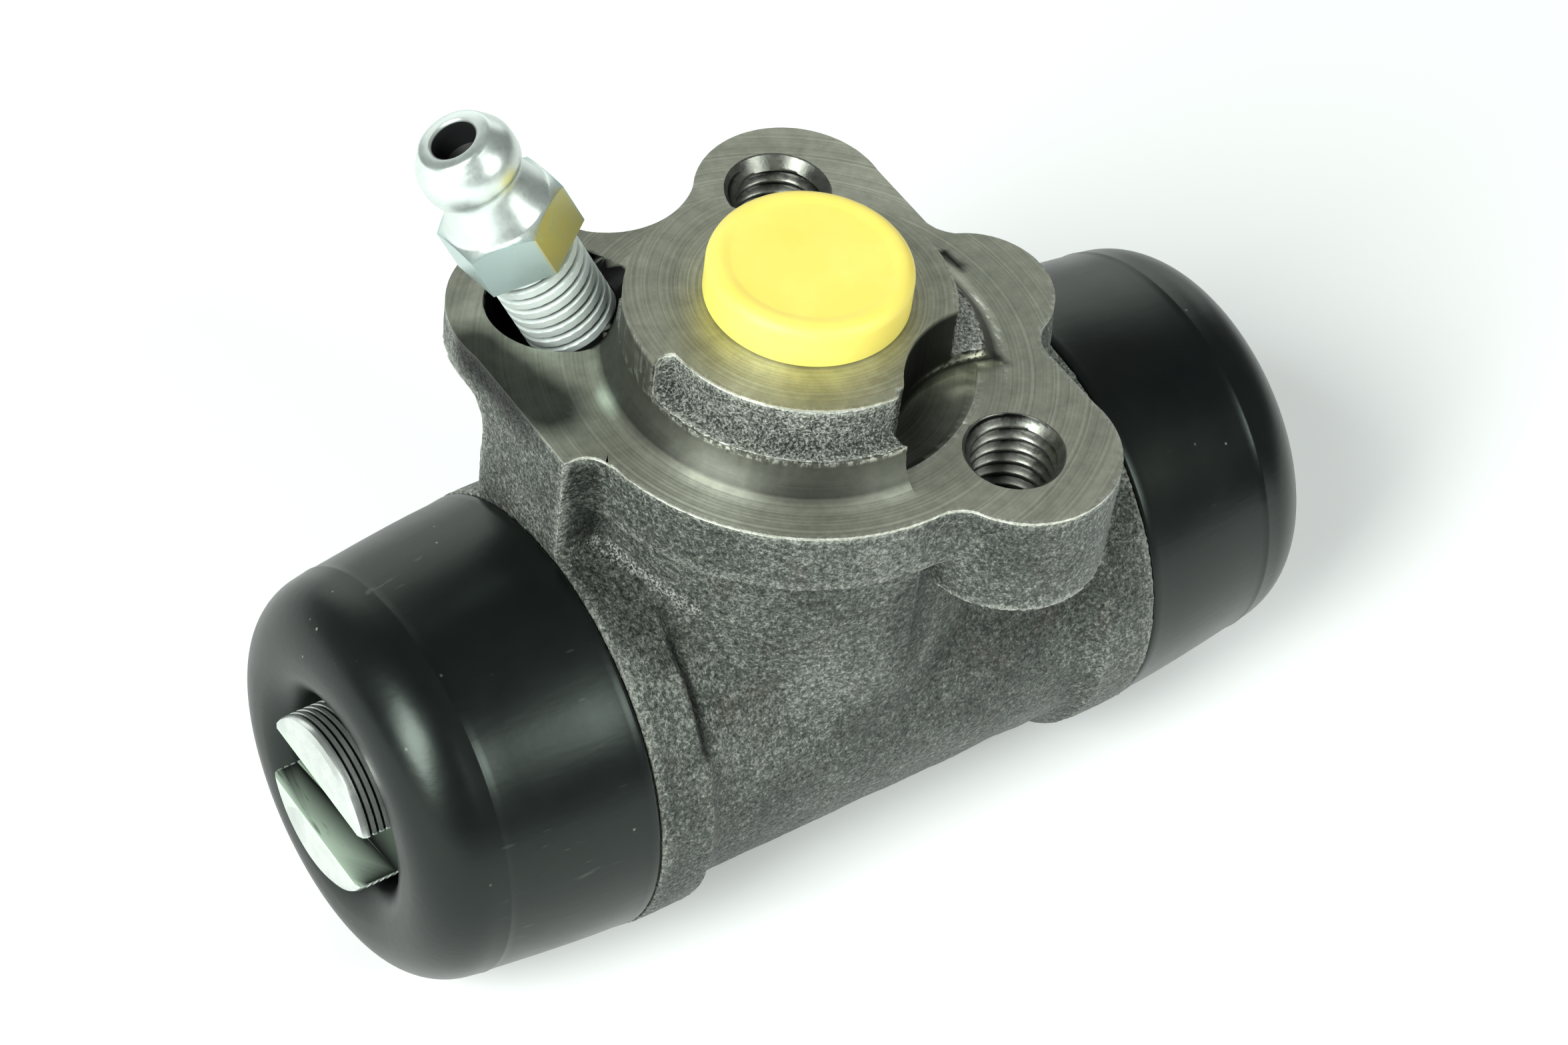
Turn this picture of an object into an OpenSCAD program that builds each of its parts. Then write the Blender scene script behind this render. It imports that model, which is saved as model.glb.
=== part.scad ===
// Drum-brake wheel cylinder with slotted pistons, dust boots, bleed screw and port plug.
// Frame: origin midway between the two mounting holes, on the mounting face.
// X runs along the bore, +Z is the mounting face's outward normal.

/* [Barrel] */
// Bore diameter
bore_d = 17.46; // [14:0.01:22]
// Bore axis below the mounting face
axis_drop = 22.5; // [20:0.1:28]
// Barrel diameter between the collars
barrel_d = 26.5; // [24:0.1:28]
// Collar diameter
collar_d = 28.4; // [26:0.1:34]
// Collar width
collar_w = 3.7; // [2:0.1:6]
// Distance between the collars' outer faces
barrel_len = 36.5; // [34:0.1:44]
// Barrel middle, right of the spigot axis
barrel_shift = 1.6; // [0:0.1:3]
// Nose diameter under the boot
nose_d = 24.0; // [22:0.1:28]
// Nose length beyond the collar
nose_len = 5.4; // [4:0.1:8]
// Depth of the boot groove in the nose
groove_depth = 1.1; // [0.6:0.1:1.6]
// Width of the boot groove
groove_w = 2.0; // [1:0.1:3]
// Nose land between collar and groove
groove_land = 1.6; // [1:0.1:3]

/* [Mounting face] */
// Diameter of the round flange
flange_d = 28.9; // [26:0.1:34]
// Thickness of the round flange
flange_t = 4.6; // [3:0.1:7]
// Diameter of the broad left part of the neck
neck_d = 26.8; // [24:0.1:30]
// Diameter of the neck's set-back right part
neck_right_d = 25.4; // [22:0.1:30]
// Right end of the broad part, from the spigot axis
neck_step_x = 0.5; // [-3:0.1:4]
// Depth at which the broad part starts to fall back to the barrel
neck_foot = 18.5; // [14:0.1:20]
// Spigot diameter
spigot_d = 21.7; // [19:0.1:24]
// Spigot height
spigot_h = 5.3; // [3:0.1:8]
// Radius of the turned cove at the spigot's foot
cove_r = 2.0; // [0.5:0.1:2.4]
// Radius of the raw casting where the spigot's front wasn't cleaned up
raw_front_r = 9.45; // [8:0.05:10]
// Radius of the raw casting on the spigot's right
raw_right_r = 8.9; // [8:0.05:10]
// Radius of the raw casting behind the spigot
raw_back_r = 9.5; // [8:0.05:10]
// How far left of the spigot axis the raw back is centred
raw_back_x = 1.5; // [1.4:0.1:2]
// Height of the turned step under the raw front
raw_step_h = 2.4; // [1:0.1:4]
// Left end of the spigot's raw front, in front of the spigot axis
raw_left_y = 1.6; // [0:0.1:4]
// Radius of the rounded left end of the raw front
raw_end_r = 1.4; // [0.5:0.1:2]
// Depth of the wrench scallops below the mounting face
scallop_depth = 0.5; // [0:0.1:1]
// Radius of the wrench scallop round the front hole
scallop_r = 7.1; // [6:0.1:8]
// Radius of the wrench scallop round the back hole
scallop_back_r = 8.0; // [7:0.1:9]

/* [Mounting holes] */
// Distance between the mounting holes
hole_pitch = 24.8; // [22:0.1:30]
// Mounting holes right of the spigot axis
hole_x = 6.9; // [4:0.1:9]
// Tapped hole diameter (M6 x 1)
hole_d = 5.0; // [4:0.1:6]
// Tapped depth
hole_depth = 6.0; // [5:0.1:7]
// Depth of the holes' chamfers
mouth_depth = 0.45; // [0.2:0.05:0.5]
// Front hole chamfer diameter
hole_mouth_front = 6.2; // [5.5:0.1:7]
// Back hole chamfer diameter
hole_mouth_back = 6.7; // [5.5:0.1:7.5]
// Diameter of the bosses round the holes
boss_d = 12.0; // [10:0.1:14]
// Depth of the bosses
boss_t = 7.7; // [7.6:0.1:10]

/* [Flange outline] */
// How far the bosses sit right of their holes
boss_out = 0.5; // [0:0.1:1]
// How far the back boss sits in front of its hole
back_boss_in = 0.7; // [0:0.1:1.5]
// Radius of the outline's small concave rounds
notch_r = 2.6; // [1:0.1:4]
// Radius of the wide concave round between back boss and bleed lobe
back_notch_r = 5.8; // [4:0.1:8]
// Radius of the right lobe
right_lobe_r = 4.9; // [3:0.1:6]
// Right lobe centre, from the spigot axis
right_lobe_x = 12.55; // [11:0.05:14]
// Right lobe centre, in front of the spigot axis
right_lobe_front = 0.4; // [0:0.1:2]
// Draft of the right lobe down to the bore axis
right_lobe_draft = 1.6; // [0:0.1:3]
// Front edge of the left lobe
left_front_y = -0.6; // [-2:0.1:2]
// Back face of the web under the left lobe
left_web_y = 8.1; // [6:0.1:10]
// Thickness of the left lobe
left_lobe_t = 3.0; // [2:0.1:7]
// Fillet between the left lobe and its web
left_fillet_r = 2.2; // [0.5:0.1:4]
// Radius of the concave corner in front of the left lobe
corner_r = 1.6; // [0.5:0.1:3]

/* [Port] */
// Port diameter (M10 x 1 minor)
port_d = 9.0; // [8:0.1:11]
// Port depth below the mounting face
port_depth = 6.0; // [4:0.1:8]
// Passage from port to bore
passage_d = 3.0; // [1.5:0.1:4]
// Plug head diameter
plug_head_d = 12.25; // [10:0.05:16]
// Plug head thickness
plug_head_t = 2.8; // [2:0.1:4]
// Rounding of the plug head's top edge
plug_round = 0.8; // [0.2:0.1:1.2]
// Plug stem length
plug_stem_len = 7.5; // [4:0.1:10]
// Plug wall
plug_wall = 1.0; // [0.6:0.1:1.5]

/* [Bleed screw] */
// Screw axis on the mounting face, left of the spigot axis
bleed_x = -9.9; // [-12:0.1:-8]
// Screw axis on the mounting face, behind the spigot axis
bleed_y = 10.5; // [8:0.1:12]
// Tilt of the screw from the face normal
bleed_tilt = 28; // [15:1:35]
// Heading of the tilt
bleed_heading = 152; // [120:1:180]
// Thread diameter
thread_d = 5.9; // [5:0.1:8]
// Hexagon across flats
hex_af = 7.0; // [6:0.1:10]
// Underside of the hexagon above the face, along the screw
hex_from = 5.5; // [4.6:0.1:8]
// Hexagon length
hex_len = 3.4; // [3:0.1:5]
// Round shoulder above the hexagon
nipple_shoulder_h = 1.1; // [0.5:0.1:2]
// Rounding of the shoulder
nipple_round = 0.7; // [0.2:0.1:1]
// Neck diameter
nipple_neck_d = 4.4; // [3:0.1:5]
// Ball diameter
nipple_ball_d = 6.1; // [5:0.1:8]
// End of the nipple above the face, along the screw
nipple_end = 15.0; // [13:0.1:18]
// Bore of the screw
screw_bore_d = 2.1; // [1:0.1:2.6]
// Diameter of the bleed lobe
bleed_lobe_d = 13.2; // [11:0.1:15]
// How far the bleed lobe bulges past the left end
lobe_bulge = 0.15; // [0.05:0.05:0.5]
// Diameter of the boss round the bleed screw, under the lobe
bleed_boss_d = 10.6; // [9:0.1:13]
// Depth of the bleed hole's wide mouth
bleed_mouth_depth = 1.2; // [0.5:0.1:2]
// Diameter of the bleed hole's mouth
bleed_mouth_d = 8.2; // [7:0.1:10]
// Depth of the screw's seat below the face, along the screw
seat_depth = 12.5; // [11:0.1:14]
// Length of the passage from the seat to the bore
bleed_passage = 7.2; // [6:0.1:9]
// Cross hole of the screw
cross_hole_d = 1.4; // [0.8:0.1:2]

/* [Pistons and boots] */
// Piston tip diameter
tip_d = 11.3; // [9:0.1:13]
// Piston tip's end, beyond the collar face
tip_end = 15.4; // [13:0.1:18]
// Width of the shoe slot
slot_w = 4.6; // [4.2:0.1:6]
// Depth of the shoe slot
slot_depth = 7.0; // [5:0.1:8]
// Piston length inside the bore
piston_len = 10.4; // [8:0.1:12]
// Piston shoulder, beyond the collar face
piston_shoulder = 4.2; // [3:0.1:5]
// Boot diameter at the collar
boot_d = 28.2; // [26:0.1:32]
// Boot length from the collar face
boot_len = 14.4; // [12:0.1:17]
// Radius of the boot's shoulder
boot_shoulder_r = 4.2; // [3:0.1:5]
// Boot diameter where the shoulder starts
boot_shoulder_d = 26.2; // [24:0.1:29]
// Roll radius at the boot's hole
boot_roll_r = 2.4; // [1.5:0.1:2.6]
// Boot wall
boot_wall = 1.8; // [1:0.1:2.5]
// Thickness of the boot's lip on the piston tip
boot_lip = 0.8; // [0.5:0.1:1]
// Cup length
cup_len = 5.4; // [4:0.1:7]
// Cup lip thickness
cup_lip = 1.7; // [1:0.1:2.5]
// Depth of the cup's hollow
cup_hollow = 3.2; // [2:0.1:4]
// Spring wire diameter
wire_d = 0.9; // [0.6:0.1:1.2]
// Spring mean diameter
spring_d = 9.4; // [7:0.1:10.5]
// Working turns of the spring
spring_turns = 6; // [4:1:9]

/* [Fits] */
// Radial clearance of pistons and cups in the bore
running_gap = 0.05; // [0.02:0.01:0.1]
// Clearance of the boots on the nose and tip
boot_gap = 0.08; // [0.05:0.01:0.2]
// Radial clearance of the screw in its thread
thread_gap = 0.08; // [0.05:0.01:0.1]
// Radial clearance of the plug in the port
plug_gap = 0.08; // [0.05:0.01:0.2]
// End gap between pieces that butt together
butt_gap = 0.04; // [0.02:0.01:0.1]

/* [Hidden] */
$fn = 96;
eps = 0.01;
far = 60;
bore_r = bore_d / 2;
half_len = barrel_len / 2;
nose_end = half_len + nose_len;
tip_u = half_len + tip_end;
boot_end_u = half_len + boot_len;
shoulder_u = half_len + piston_shoulder;
piston_in_u = shoulder_u - piston_len;
cup_in_u = piston_in_u - butt_gap - cup_len;
cup_base = cup_len - cup_hollow;
cup_hollow_r = bore_r - running_gap - cup_lip;
dish_t = 0.6;
dish_rim_h = 1.6;
dish_gap = 0.3;
dish_r = cup_hollow_r - dish_gap;
dish_u = piston_in_u - butt_gap - cup_base - butt_gap;
spring_half = dish_u - dish_t - butt_gap;
collar_slope = 0.8;
bore_chamfer = 0.7;
drill_tip = 0.6;
lobe_y = hole_pitch / 2;
notch_over = 0.05;
boss_r = boss_d / 2;
edge_right = hole_x + boss_out + boss_r - notch_over;
front_boss = [hole_x + boss_out, -lobe_y];
back_boss = [hole_x + boss_out, lobe_y - back_boss_in];
right_lobe = [right_lobe_x, -right_lobe_front];
left_end_x = barrel_shift - half_len;
bleed_lobe_r = bleed_lobe_d / 2;
bleed_lobe = [left_end_x + bleed_lobe_r - lobe_bulge, bleed_y];
hex_r = hex_af / 2 / cos(30);
seat_r = 1.1;
seat_cone_h = 2.0;
boss_floor = 2.5;
cut_over = 1;
hex_chamfer = 0.3;
edge_break = 0.4;
cup_edge = 0.3;
lip_taper = 0.9;
neck_sink = 0.2;
cross_hole_up = 3.2;
ball_cut = 2.2;

// Moves spigot coordinates to the row frame.
module datum() {
    translate([-hole_x, 0, 0]) children();
}

// Turns a profile drawn as (distance from the barrel's middle, radius) into a solid on the bore axis.
module on_axis(side) {
    datum()
        translate([barrel_shift, 0, -axis_drop])
            mirror([side < 0 ? 1 : 0, 0, 0])
                rotate([0, 90, 0])
                    rotate([0, 0, 90])
                        children();
}

// Revolves an (axial, radial) profile about its axial direction.
module turned() {
    rotate_extrude()
        rotate([0, 0, 90])
            mirror([0, 1, 0])
                children();
}

// Rod along the bore axis in spigot coordinates.
module bore_rod(d, x0, x1) {
    translate([x0, 0, -axis_drop])
        rotate([0, 90, 0])
            cylinder(d = d, h = x1 - x0);
}

// Places children on the bleed screw's axis, z outward from the mounting face.
module bleed_axis() {
    translate([bleed_x, bleed_y, 0])
        rotate([0, bleed_tilt, bleed_heading])
            children();
}

// Fills the concave corner at (x, y) and leaves a round of radius r, opening toward (sx, sy).
module corner(x, y, sx, sy, r, h) {
    translate([x, y, -h])
        difference() {
            translate([sx > 0 ? -eps : -r, sy > 0 ? -eps : -r, 0])
                cube([r + eps, r + eps, h]);
            translate([sx * r, sy * r, -eps])
                cylinder(r = r, h = h + 2 * eps);
        }
}

module barrel_outside() {
    x0 = barrel_shift - half_len;
    x1 = barrel_shift + half_len;
    bore_rod(barrel_d, x0, x1);
    bore_rod(collar_d, x0, x0 + collar_w);
    bore_rod(collar_d, x1 - collar_w, x1);
    translate([x0 + collar_w, 0, -axis_drop])
        rotate([0, 90, 0])
            cylinder(d1 = collar_d, d2 = barrel_d, h = collar_slope);
    translate([x1 - collar_w - collar_slope, 0, -axis_drop])
        rotate([0, 90, 0])
            cylinder(d1 = barrel_d, d2 = collar_d, h = collar_slope);
    for (s = [-1, 1])
        translate([barrel_shift, 0, 0])
            mirror([s < 0 ? 1 : 0, 0, 0])
                nose();
}

module nose() {
    groove_u = half_len + groove_land;
    bore_rod(nose_d, half_len - eps, groove_u);
    bore_rod(nose_d - 2 * groove_depth, groove_u - eps, groove_u + groove_w + eps);
    bore_rod(nose_d, groove_u + groove_w, nose_end);
}

// Point at distance ra from a and rb from b, on the left (side 1) or right (side -1) of the way to b.
function meet(a, ra, b, rb, side) =
    let (v = b - a, d = norm(v), t = (ra * ra - rb * rb + d * d) / (2 * d), h = sqrt(ra * ra - t * t))
        a + v * t / d + side * h / d * [-v[1], v[0]];

// Web that rounds a concave corner of the outline about the centre c.
module round_web(points, c, r) {
    difference() {
        polygon(concat([c], points));
        translate(c)
            circle(r = r + notch_over);
    }
}

// Plan of the flange with its concave rounds, without the left lobe.
module flange_plan() {
    flange_r = flange_d / 2;
    back_c = meet(bleed_lobe, bleed_lobe_r + back_notch_r, back_boss, boss_r + back_notch_r, 1);
    back_t = bleed_lobe + (back_c - bleed_lobe) * bleed_lobe_r / (bleed_lobe_r + back_notch_r);
    front_c = meet([0, 0], flange_r + notch_r, front_boss, boss_r + notch_r, -1);
    side_x = edge_right + notch_r;
    side_y = sqrt(pow(right_lobe_r + notch_r, 2) - pow(side_x - right_lobe_x, 2));
    difference() {
        circle(r = flange_r);
        translate(back_c)
            circle(r = back_notch_r + notch_over);
    }
    round_web([back_t, [0, 0], back_boss], back_c, back_notch_r);
    round_web([front_boss, [0, 0]], front_c, notch_r);
    translate([0, front_boss[1]])
        square([edge_right, back_boss[1] - front_boss[1]]);
    for (s = [-1, 1])
        round_web([right_lobe, right_lobe + [0, s * side_y]],
                  right_lobe + [side_x - right_lobe_x, s * side_y], notch_r);
}

module flange_outside() {
    translate([0, 0, -flange_t])
        linear_extrude(flange_t)
            flange_plan();
    neck();
    for (c = [front_boss, back_boss])
        translate([c[0], c[1], -boss_t])
            cylinder(r = boss_r, h = boss_t);
    translate([right_lobe[0], right_lobe[1], -axis_drop])
        cylinder(r1 = right_lobe_r + right_lobe_draft, r2 = right_lobe_r, h = axis_drop);
    left_lobe();
}

// Neck between flange and barrel: broad on the left, set back under the right half.
module neck() {
    foot_r = barrel_d / 2 - neck_sink;
    translate([0, 0, -axis_drop])
        cylinder(r1 = foot_r, d2 = neck_right_d, h = axis_drop - flange_t + eps);
    intersection() {
        rotate_extrude()
            polygon([[0, -axis_drop], [foot_r - neck_sink, -axis_drop], [neck_d / 2, -neck_foot],
                     [neck_d / 2, -flange_t + eps], [0, -flange_t + eps]]);
        translate([-far, -far / 2, -axis_drop])
            cube([far + neck_step_x, far, axis_drop]);
    }
}

// Plan of the left lobe: a straight end flush with the collar and a round about the bleed screw.
module left_lobe_plan() {
    translate([left_end_x, left_front_y])
        square([-left_end_x, bleed_y - left_front_y]);
    translate(bleed_lobe)
        circle(r = bleed_lobe_r);
}

// Side of the left lobe: a plate on a web, with a fillet under the plate.
module left_lobe_side() {
    depth = left_web_y - left_front_y;
    translate([left_front_y, -left_lobe_t])
        square([far, left_lobe_t]);
    translate([left_front_y, -axis_drop])
        square([depth, axis_drop]);
    difference() {
        translate([left_web_y - eps, -left_lobe_t - left_fillet_r])
            square([left_fillet_r + eps, left_fillet_r + eps]);
        translate([left_web_y + left_fillet_r, -left_lobe_t - left_fillet_r])
            circle(r = left_fillet_r);
    }
}

module left_lobe() {
    intersection() {
        translate([0, 0, -axis_drop])
            linear_extrude(axis_drop)
                left_lobe_plan();
        translate([left_end_x - cut_over, 0, 0])
            rotate([90, 0, 90])
                linear_extrude(far)
                    left_lobe_side();
    }
    intersection() {
        bleed_axis()
            translate([0, 0, -seat_depth - boss_floor])
                rotate([0, 0, 180])
                    cylinder(d = bleed_boss_d, h = seat_depth + boss_floor + bleed_boss_d / 2);
        translate([-far, -far, -axis_drop])
            cube([2 * far, 2 * far, axis_drop]);
    }
    corner(-sqrt(flange_d * flange_d / 4 - left_front_y * left_front_y), left_front_y, -1, -1,
           corner_r, flange_t);
}

module spigot() {
    cylinder(d = spigot_d, h = spigot_h);
    rotate_extrude()
        difference() {
            translate([spigot_d / 2 - eps, 0])
                square([cove_r + eps, cove_r]);
            translate([spigot_d / 2 + cove_r, cove_r])
                circle(r = cove_r);
        }
}

// Raw casting left on the spigot where the turning tool didn't reach.
module raw_front() {
    translate([0, 0, raw_step_h])
        difference() {
            union() {
                translate([-far / 2, -far / 2, 0])
                    cube([far / 2 + eps, far / 2 - raw_left_y, spigot_h]);
                translate([-(raw_front_r + spigot_d / 2) / 2 - eps, -raw_left_y, 0])
                    cylinder(r = raw_end_r, h = spigot_h);
            }
            translate([0, 0, -eps])
                cylinder(r = raw_front_r, h = spigot_h + 2 * eps);
        }
}

module raw_right() {
    translate([0, 0, raw_step_h / 2])
        difference() {
            translate([0, -lobe_y, 0])
                cube([far / 2, hole_pitch, spigot_h]);
            translate([0, 0, -eps])
                cylinder(r = raw_right_r, h = spigot_h + 2 * eps);
        }
}

module raw_back() {
    translate([0, 0, raw_step_h])
        difference() {
            translate([-far / 2, 0, 0])
                cube([far / 2, far / 2, spigot_h]);
            translate([-raw_back_x, 0, -eps])
                cylinder(r = raw_back_r, h = spigot_h + 2 * eps);
        }
}

module scallop(y, r) {
    translate([hole_x, y, 0])
        cylinder(r = r, h = spigot_h + cut_over);
    intersection() {
        translate([hole_x, y, -scallop_depth])
            cylinder(r = r, h = spigot_h);
        translate([0, 0, -scallop_depth])
            cylinder(d = spigot_d - edge_break, h = spigot_h);
    }
}

module mounting_hole(y, mouth) {
    translate([hole_x, y, 0]) {
        translate([0, 0, -hole_depth])
            cylinder(d = hole_d, h = hole_depth + cut_over);
        translate([0, 0, -hole_depth - drill_tip])
            cylinder(d1 = hole_d / 4, d2 = hole_d, h = drill_tip + eps);
        translate([0, 0, -mouth_depth])
            cylinder(d1 = hole_d, d2 = mouth, h = mouth_depth + eps);
    }
}

module port_cut() {
    translate([0, 0, -port_depth])
        cylinder(d = port_d, h = port_depth + spigot_h + cut_over);
    translate([0, 0, -port_depth - port_d / 4])
        cylinder(d1 = passage_d, d2 = port_d, h = port_d / 4 + eps);
    translate([0, 0, -axis_drop])
        cylinder(d = passage_d, h = axis_drop - port_depth);
}

module bleed_cut() {
    bleed_axis() {
        translate([0, 0, -bleed_mouth_depth])
            cylinder(d = bleed_mouth_d, h = bleed_mouth_depth + bleed_mouth_d);
        translate([0, 0, -seat_depth + seat_cone_h])
            cylinder(d = thread_d + 2 * thread_gap, h = seat_depth);
        translate([0, 0, -seat_depth])
            cylinder(r1 = seat_r, r2 = thread_d / 2 + thread_gap, h = seat_cone_h + eps);
        translate([0, 0, -seat_depth - bleed_passage])
            cylinder(r = seat_r, h = bleed_passage + eps);
    }
}

module bore_cut() {
    x0 = barrel_shift - nose_end;
    x1 = barrel_shift + nose_end;
    bore_rod(bore_d, x0 - cut_over, x1 + cut_over);
    translate([x0 - eps, 0, -axis_drop])
        rotate([0, 90, 0])
            cylinder(r1 = bore_r + bore_chamfer, r2 = bore_r, h = bore_chamfer);
    translate([x1 - bore_chamfer + eps, 0, -axis_drop])
        rotate([0, 90, 0])
            cylinder(r1 = bore_r, r2 = bore_r + bore_chamfer, h = bore_chamfer);
}

module cylinder_body() {
    color([0.30, 0.30, 0.29])
        datum()
            difference() {
                union() {
                    barrel_outside();
                    flange_outside();
                    spigot();
                }
                raw_front();
                raw_right();
                raw_back();
                scallop(-lobe_y, scallop_r);
                scallop(lobe_y, scallop_back_r);
                mounting_hole(-lobe_y, hole_mouth_front);
                mounting_hole(lobe_y, hole_mouth_back);
                port_cut();
                bleed_cut();
                bore_cut();
            }
}

// Points on an arc, for sections that are revolved.
function arc(cu, cr, r, from, to, n) = [for (i = [0 : n])
    let (a = from + (to - from) * i / n) [cu + r * cos(a), cr + r * sin(a)]];

// Boot section: x is the distance from the barrel's middle, y the radius.
module boot_section() {
    start_u = half_len + butt_gap;
    ring_u = boot_end_u - boot_shoulder_r;
    ring_r = boot_shoulder_d / 2 - boot_shoulder_r;
    hug_r = tip_d / 2 + boot_gap;
    roll_r = min(boot_roll_r, ring_r - hug_r);
    roll_u = boot_end_u - roll_r;
    nose_r = nose_d / 2 + boot_gap;
    bead_u = half_len + groove_land + boot_gap;
    bead_r = nose_r - groove_depth;
    inner_r = boot_shoulder_r - boot_wall;
    polygon(concat(
        [[start_u, nose_r], [start_u, boot_d / 2]],
        arc(ring_u, ring_r, boot_shoulder_r, 84, 0, 12),
        arc(roll_u, ring_r, roll_r, -8, -90, 8),
        [[roll_u - boot_lip, hug_r], [ring_u, hug_r], [ring_u, hug_r + boot_lip]],
        arc(ring_u, ring_r, inner_r, -66, 90, 12),
        [[nose_end + boot_gap, ring_r + inner_r], [nose_end + boot_gap, nose_r],
         [bead_u + groove_w - 2 * boot_gap, nose_r], [bead_u + groove_w - 2 * boot_gap, bead_r],
         [bead_u, bead_r], [bead_u, nose_r]]));
}

module boot(side) {
    color([0.05, 0.05, 0.05])
        on_axis(side)
            turned()
                boot_section();
}

module left_boot() {
    boot(-1);
}

module right_boot() {
    boot(1);
}

module piston(side) {
    edge = edge_break;
    skirt_r = bore_r - running_gap;
    color([0.78, 0.78, 0.74])
        on_axis(side)
            difference() {
                turned()
                    polygon([[piston_in_u, 0], [piston_in_u, skirt_r - edge], [piston_in_u + edge, skirt_r],
                             [shoulder_u - edge, skirt_r], [shoulder_u, skirt_r - edge],
                             [shoulder_u, tip_d / 2], [tip_u - edge, tip_d / 2],
                             [tip_u, tip_d / 2 - edge], [tip_u, 0]]);
                translate([-far / 2, -slot_w / 2, tip_u - slot_depth])
                    cube([far, slot_w, slot_depth + cut_over]);
            }
}

module left_piston() {
    piston(-1);
}

module right_piston() {
    piston(1);
}

module cup(side) {
    lip_r = bore_r - running_gap;
    end_u = cup_in_u + cup_len;
    color([0.08, 0.08, 0.08])
        on_axis(side)
            turned()
                polygon([[end_u, 0], [end_u, lip_r - cup_edge], [end_u - cup_edge, lip_r],
                         [cup_in_u + edge_break, lip_r], [cup_in_u, lip_r - edge_break],
                         [cup_in_u, lip_r - lip_taper], [end_u - cup_base, cup_hollow_r],
                         [end_u - cup_base, 0]]);
}

module left_cup() {
    cup(-1);
}

module right_cup() {
    cup(1);
}

module expander(side) {
    hub_r = spring_d / 2 - wire_d;
    color([0.62, 0.61, 0.58])
        on_axis(side)
            turned()
                polygon([[dish_u, 0], [dish_u, dish_r], [dish_u - dish_rim_h, dish_r],
                         [dish_u - dish_rim_h, dish_r - dish_t], [dish_u - dish_t, dish_r - dish_t],
                         [dish_u - dish_t, hub_r], [dish_u - dish_rim_h, hub_r - edge_break],
                         [dish_u - dish_rim_h, 0]]);
}

module left_expander() {
    expander(-1);
}

module right_expander() {
    expander(1);
}

// Coil spring: closed end turns, open turns between, drawn as one swept skin.
module return_spring() {
    sides = 8;
    steps = 20;
    turns = spring_turns + 2;
    count = turns * steps;
    wire_r = wire_d / 2;
    travel = 2 * spring_half - wire_d;
    closed = wire_d + butt_gap / 2;
    function climb(t) = t < 1 ? t * closed
        : t > turns - 1 ? travel - (turns - t) * closed
        : closed + (t - 1) / spring_turns * (travel - 2 * closed);
    points = [for (i = [0 : count]) for (j = [0 : sides - 1])
        let (t = i / steps, a = 360 * t, b = 360 * j / sides, r = spring_d / 2 + wire_r * cos(b))
            [r * cos(a), r * sin(a), climb(t) + wire_r * sin(b)]];
    walls = [for (i = [0 : count - 1]) for (j = [0 : sides - 1])
        let (k = (j + 1) % sides)
            [i * sides + j, i * sides + k, (i + 1) * sides + k, (i + 1) * sides + j]];
    cap_a = [for (j = [0 : sides - 1]) sides - 1 - j];
    cap_b = [for (j = [0 : sides - 1]) count * sides + j];
    color([0.55, 0.55, 0.54])
        on_axis(1)
            translate([0, 0, -spring_half + wire_r])
                polyhedron(points = points, faces = concat([cap_a], walls, [cap_b]));
}

module bleed_screw() {
    root_r = thread_d / 2;
    tip_s = -seat_depth + butt_gap * 2;
    hex_top = hex_from + hex_len;
    neck_s = hex_top + nipple_shoulder_h;
    ball_s = nipple_end - ball_cut;
    color([0.75, 0.76, 0.74])
        datum()
            bleed_axis()
                difference() {
                    union() {
                        translate([0, 0, tip_s])
                            cylinder(r1 = seat_r, r2 = root_r, h = seat_cone_h);
                        translate([0, 0, tip_s + seat_cone_h - eps])
                            cylinder(r = root_r, h = hex_from - tip_s - seat_cone_h + 2 * eps);
                        hexagon(hex_top);
                        shoulder(hex_top, neck_s);
                        translate([0, 0, neck_s - eps])
                            cylinder(d = nipple_neck_d, h = ball_s - neck_s);
                        nipple(ball_s);
                    }
                    translate([0, 0, tip_s + cross_hole_up])
                        cylinder(d = screw_bore_d, h = far);
                    translate([0, 0, tip_s + cross_hole_up])
                        rotate([90, 0, 0])
                            cylinder(d = cross_hole_d, h = thread_d * 2, center = true);
                }
}

// Hexagon with the usual turned chamfer on its upper corners.
module hexagon(hex_top) {
    intersection() {
        translate([0, 0, hex_from])
            cylinder(r = hex_r, h = hex_len, $fn = 6);
        rotate_extrude()
            polygon([[0, hex_from], [hex_r + cut_over, hex_from], [hex_r + cut_over, hex_top - hex_chamfer],
                     [hex_r, hex_top - hex_chamfer], [hex_af / 2 - eps, hex_top], [0, hex_top]]);
    }
}

// Round shoulder between hexagon and neck.
module shoulder(from_s, to_s) {
    rotate_extrude()
        union() {
            translate([0, from_s - eps])
                square([hex_af / 2 - edge_break, to_s - from_s - nipple_round + eps]);
            translate([0, from_s - eps])
                square([hex_af / 2 - edge_break - nipple_round, to_s - from_s + eps]);
            translate([hex_af / 2 - edge_break - nipple_round, to_s - nipple_round])
                circle(r = nipple_round);
        }
}

module nipple(ball_s) {
    intersection() {
        translate([0, 0, ball_s])
            sphere(d = nipple_ball_d);
        translate([0, 0, ball_s - nipple_ball_d])
            cylinder(d = nipple_ball_d + cut_over, h = nipple_end - ball_s + nipple_ball_d);
    }
}

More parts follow.
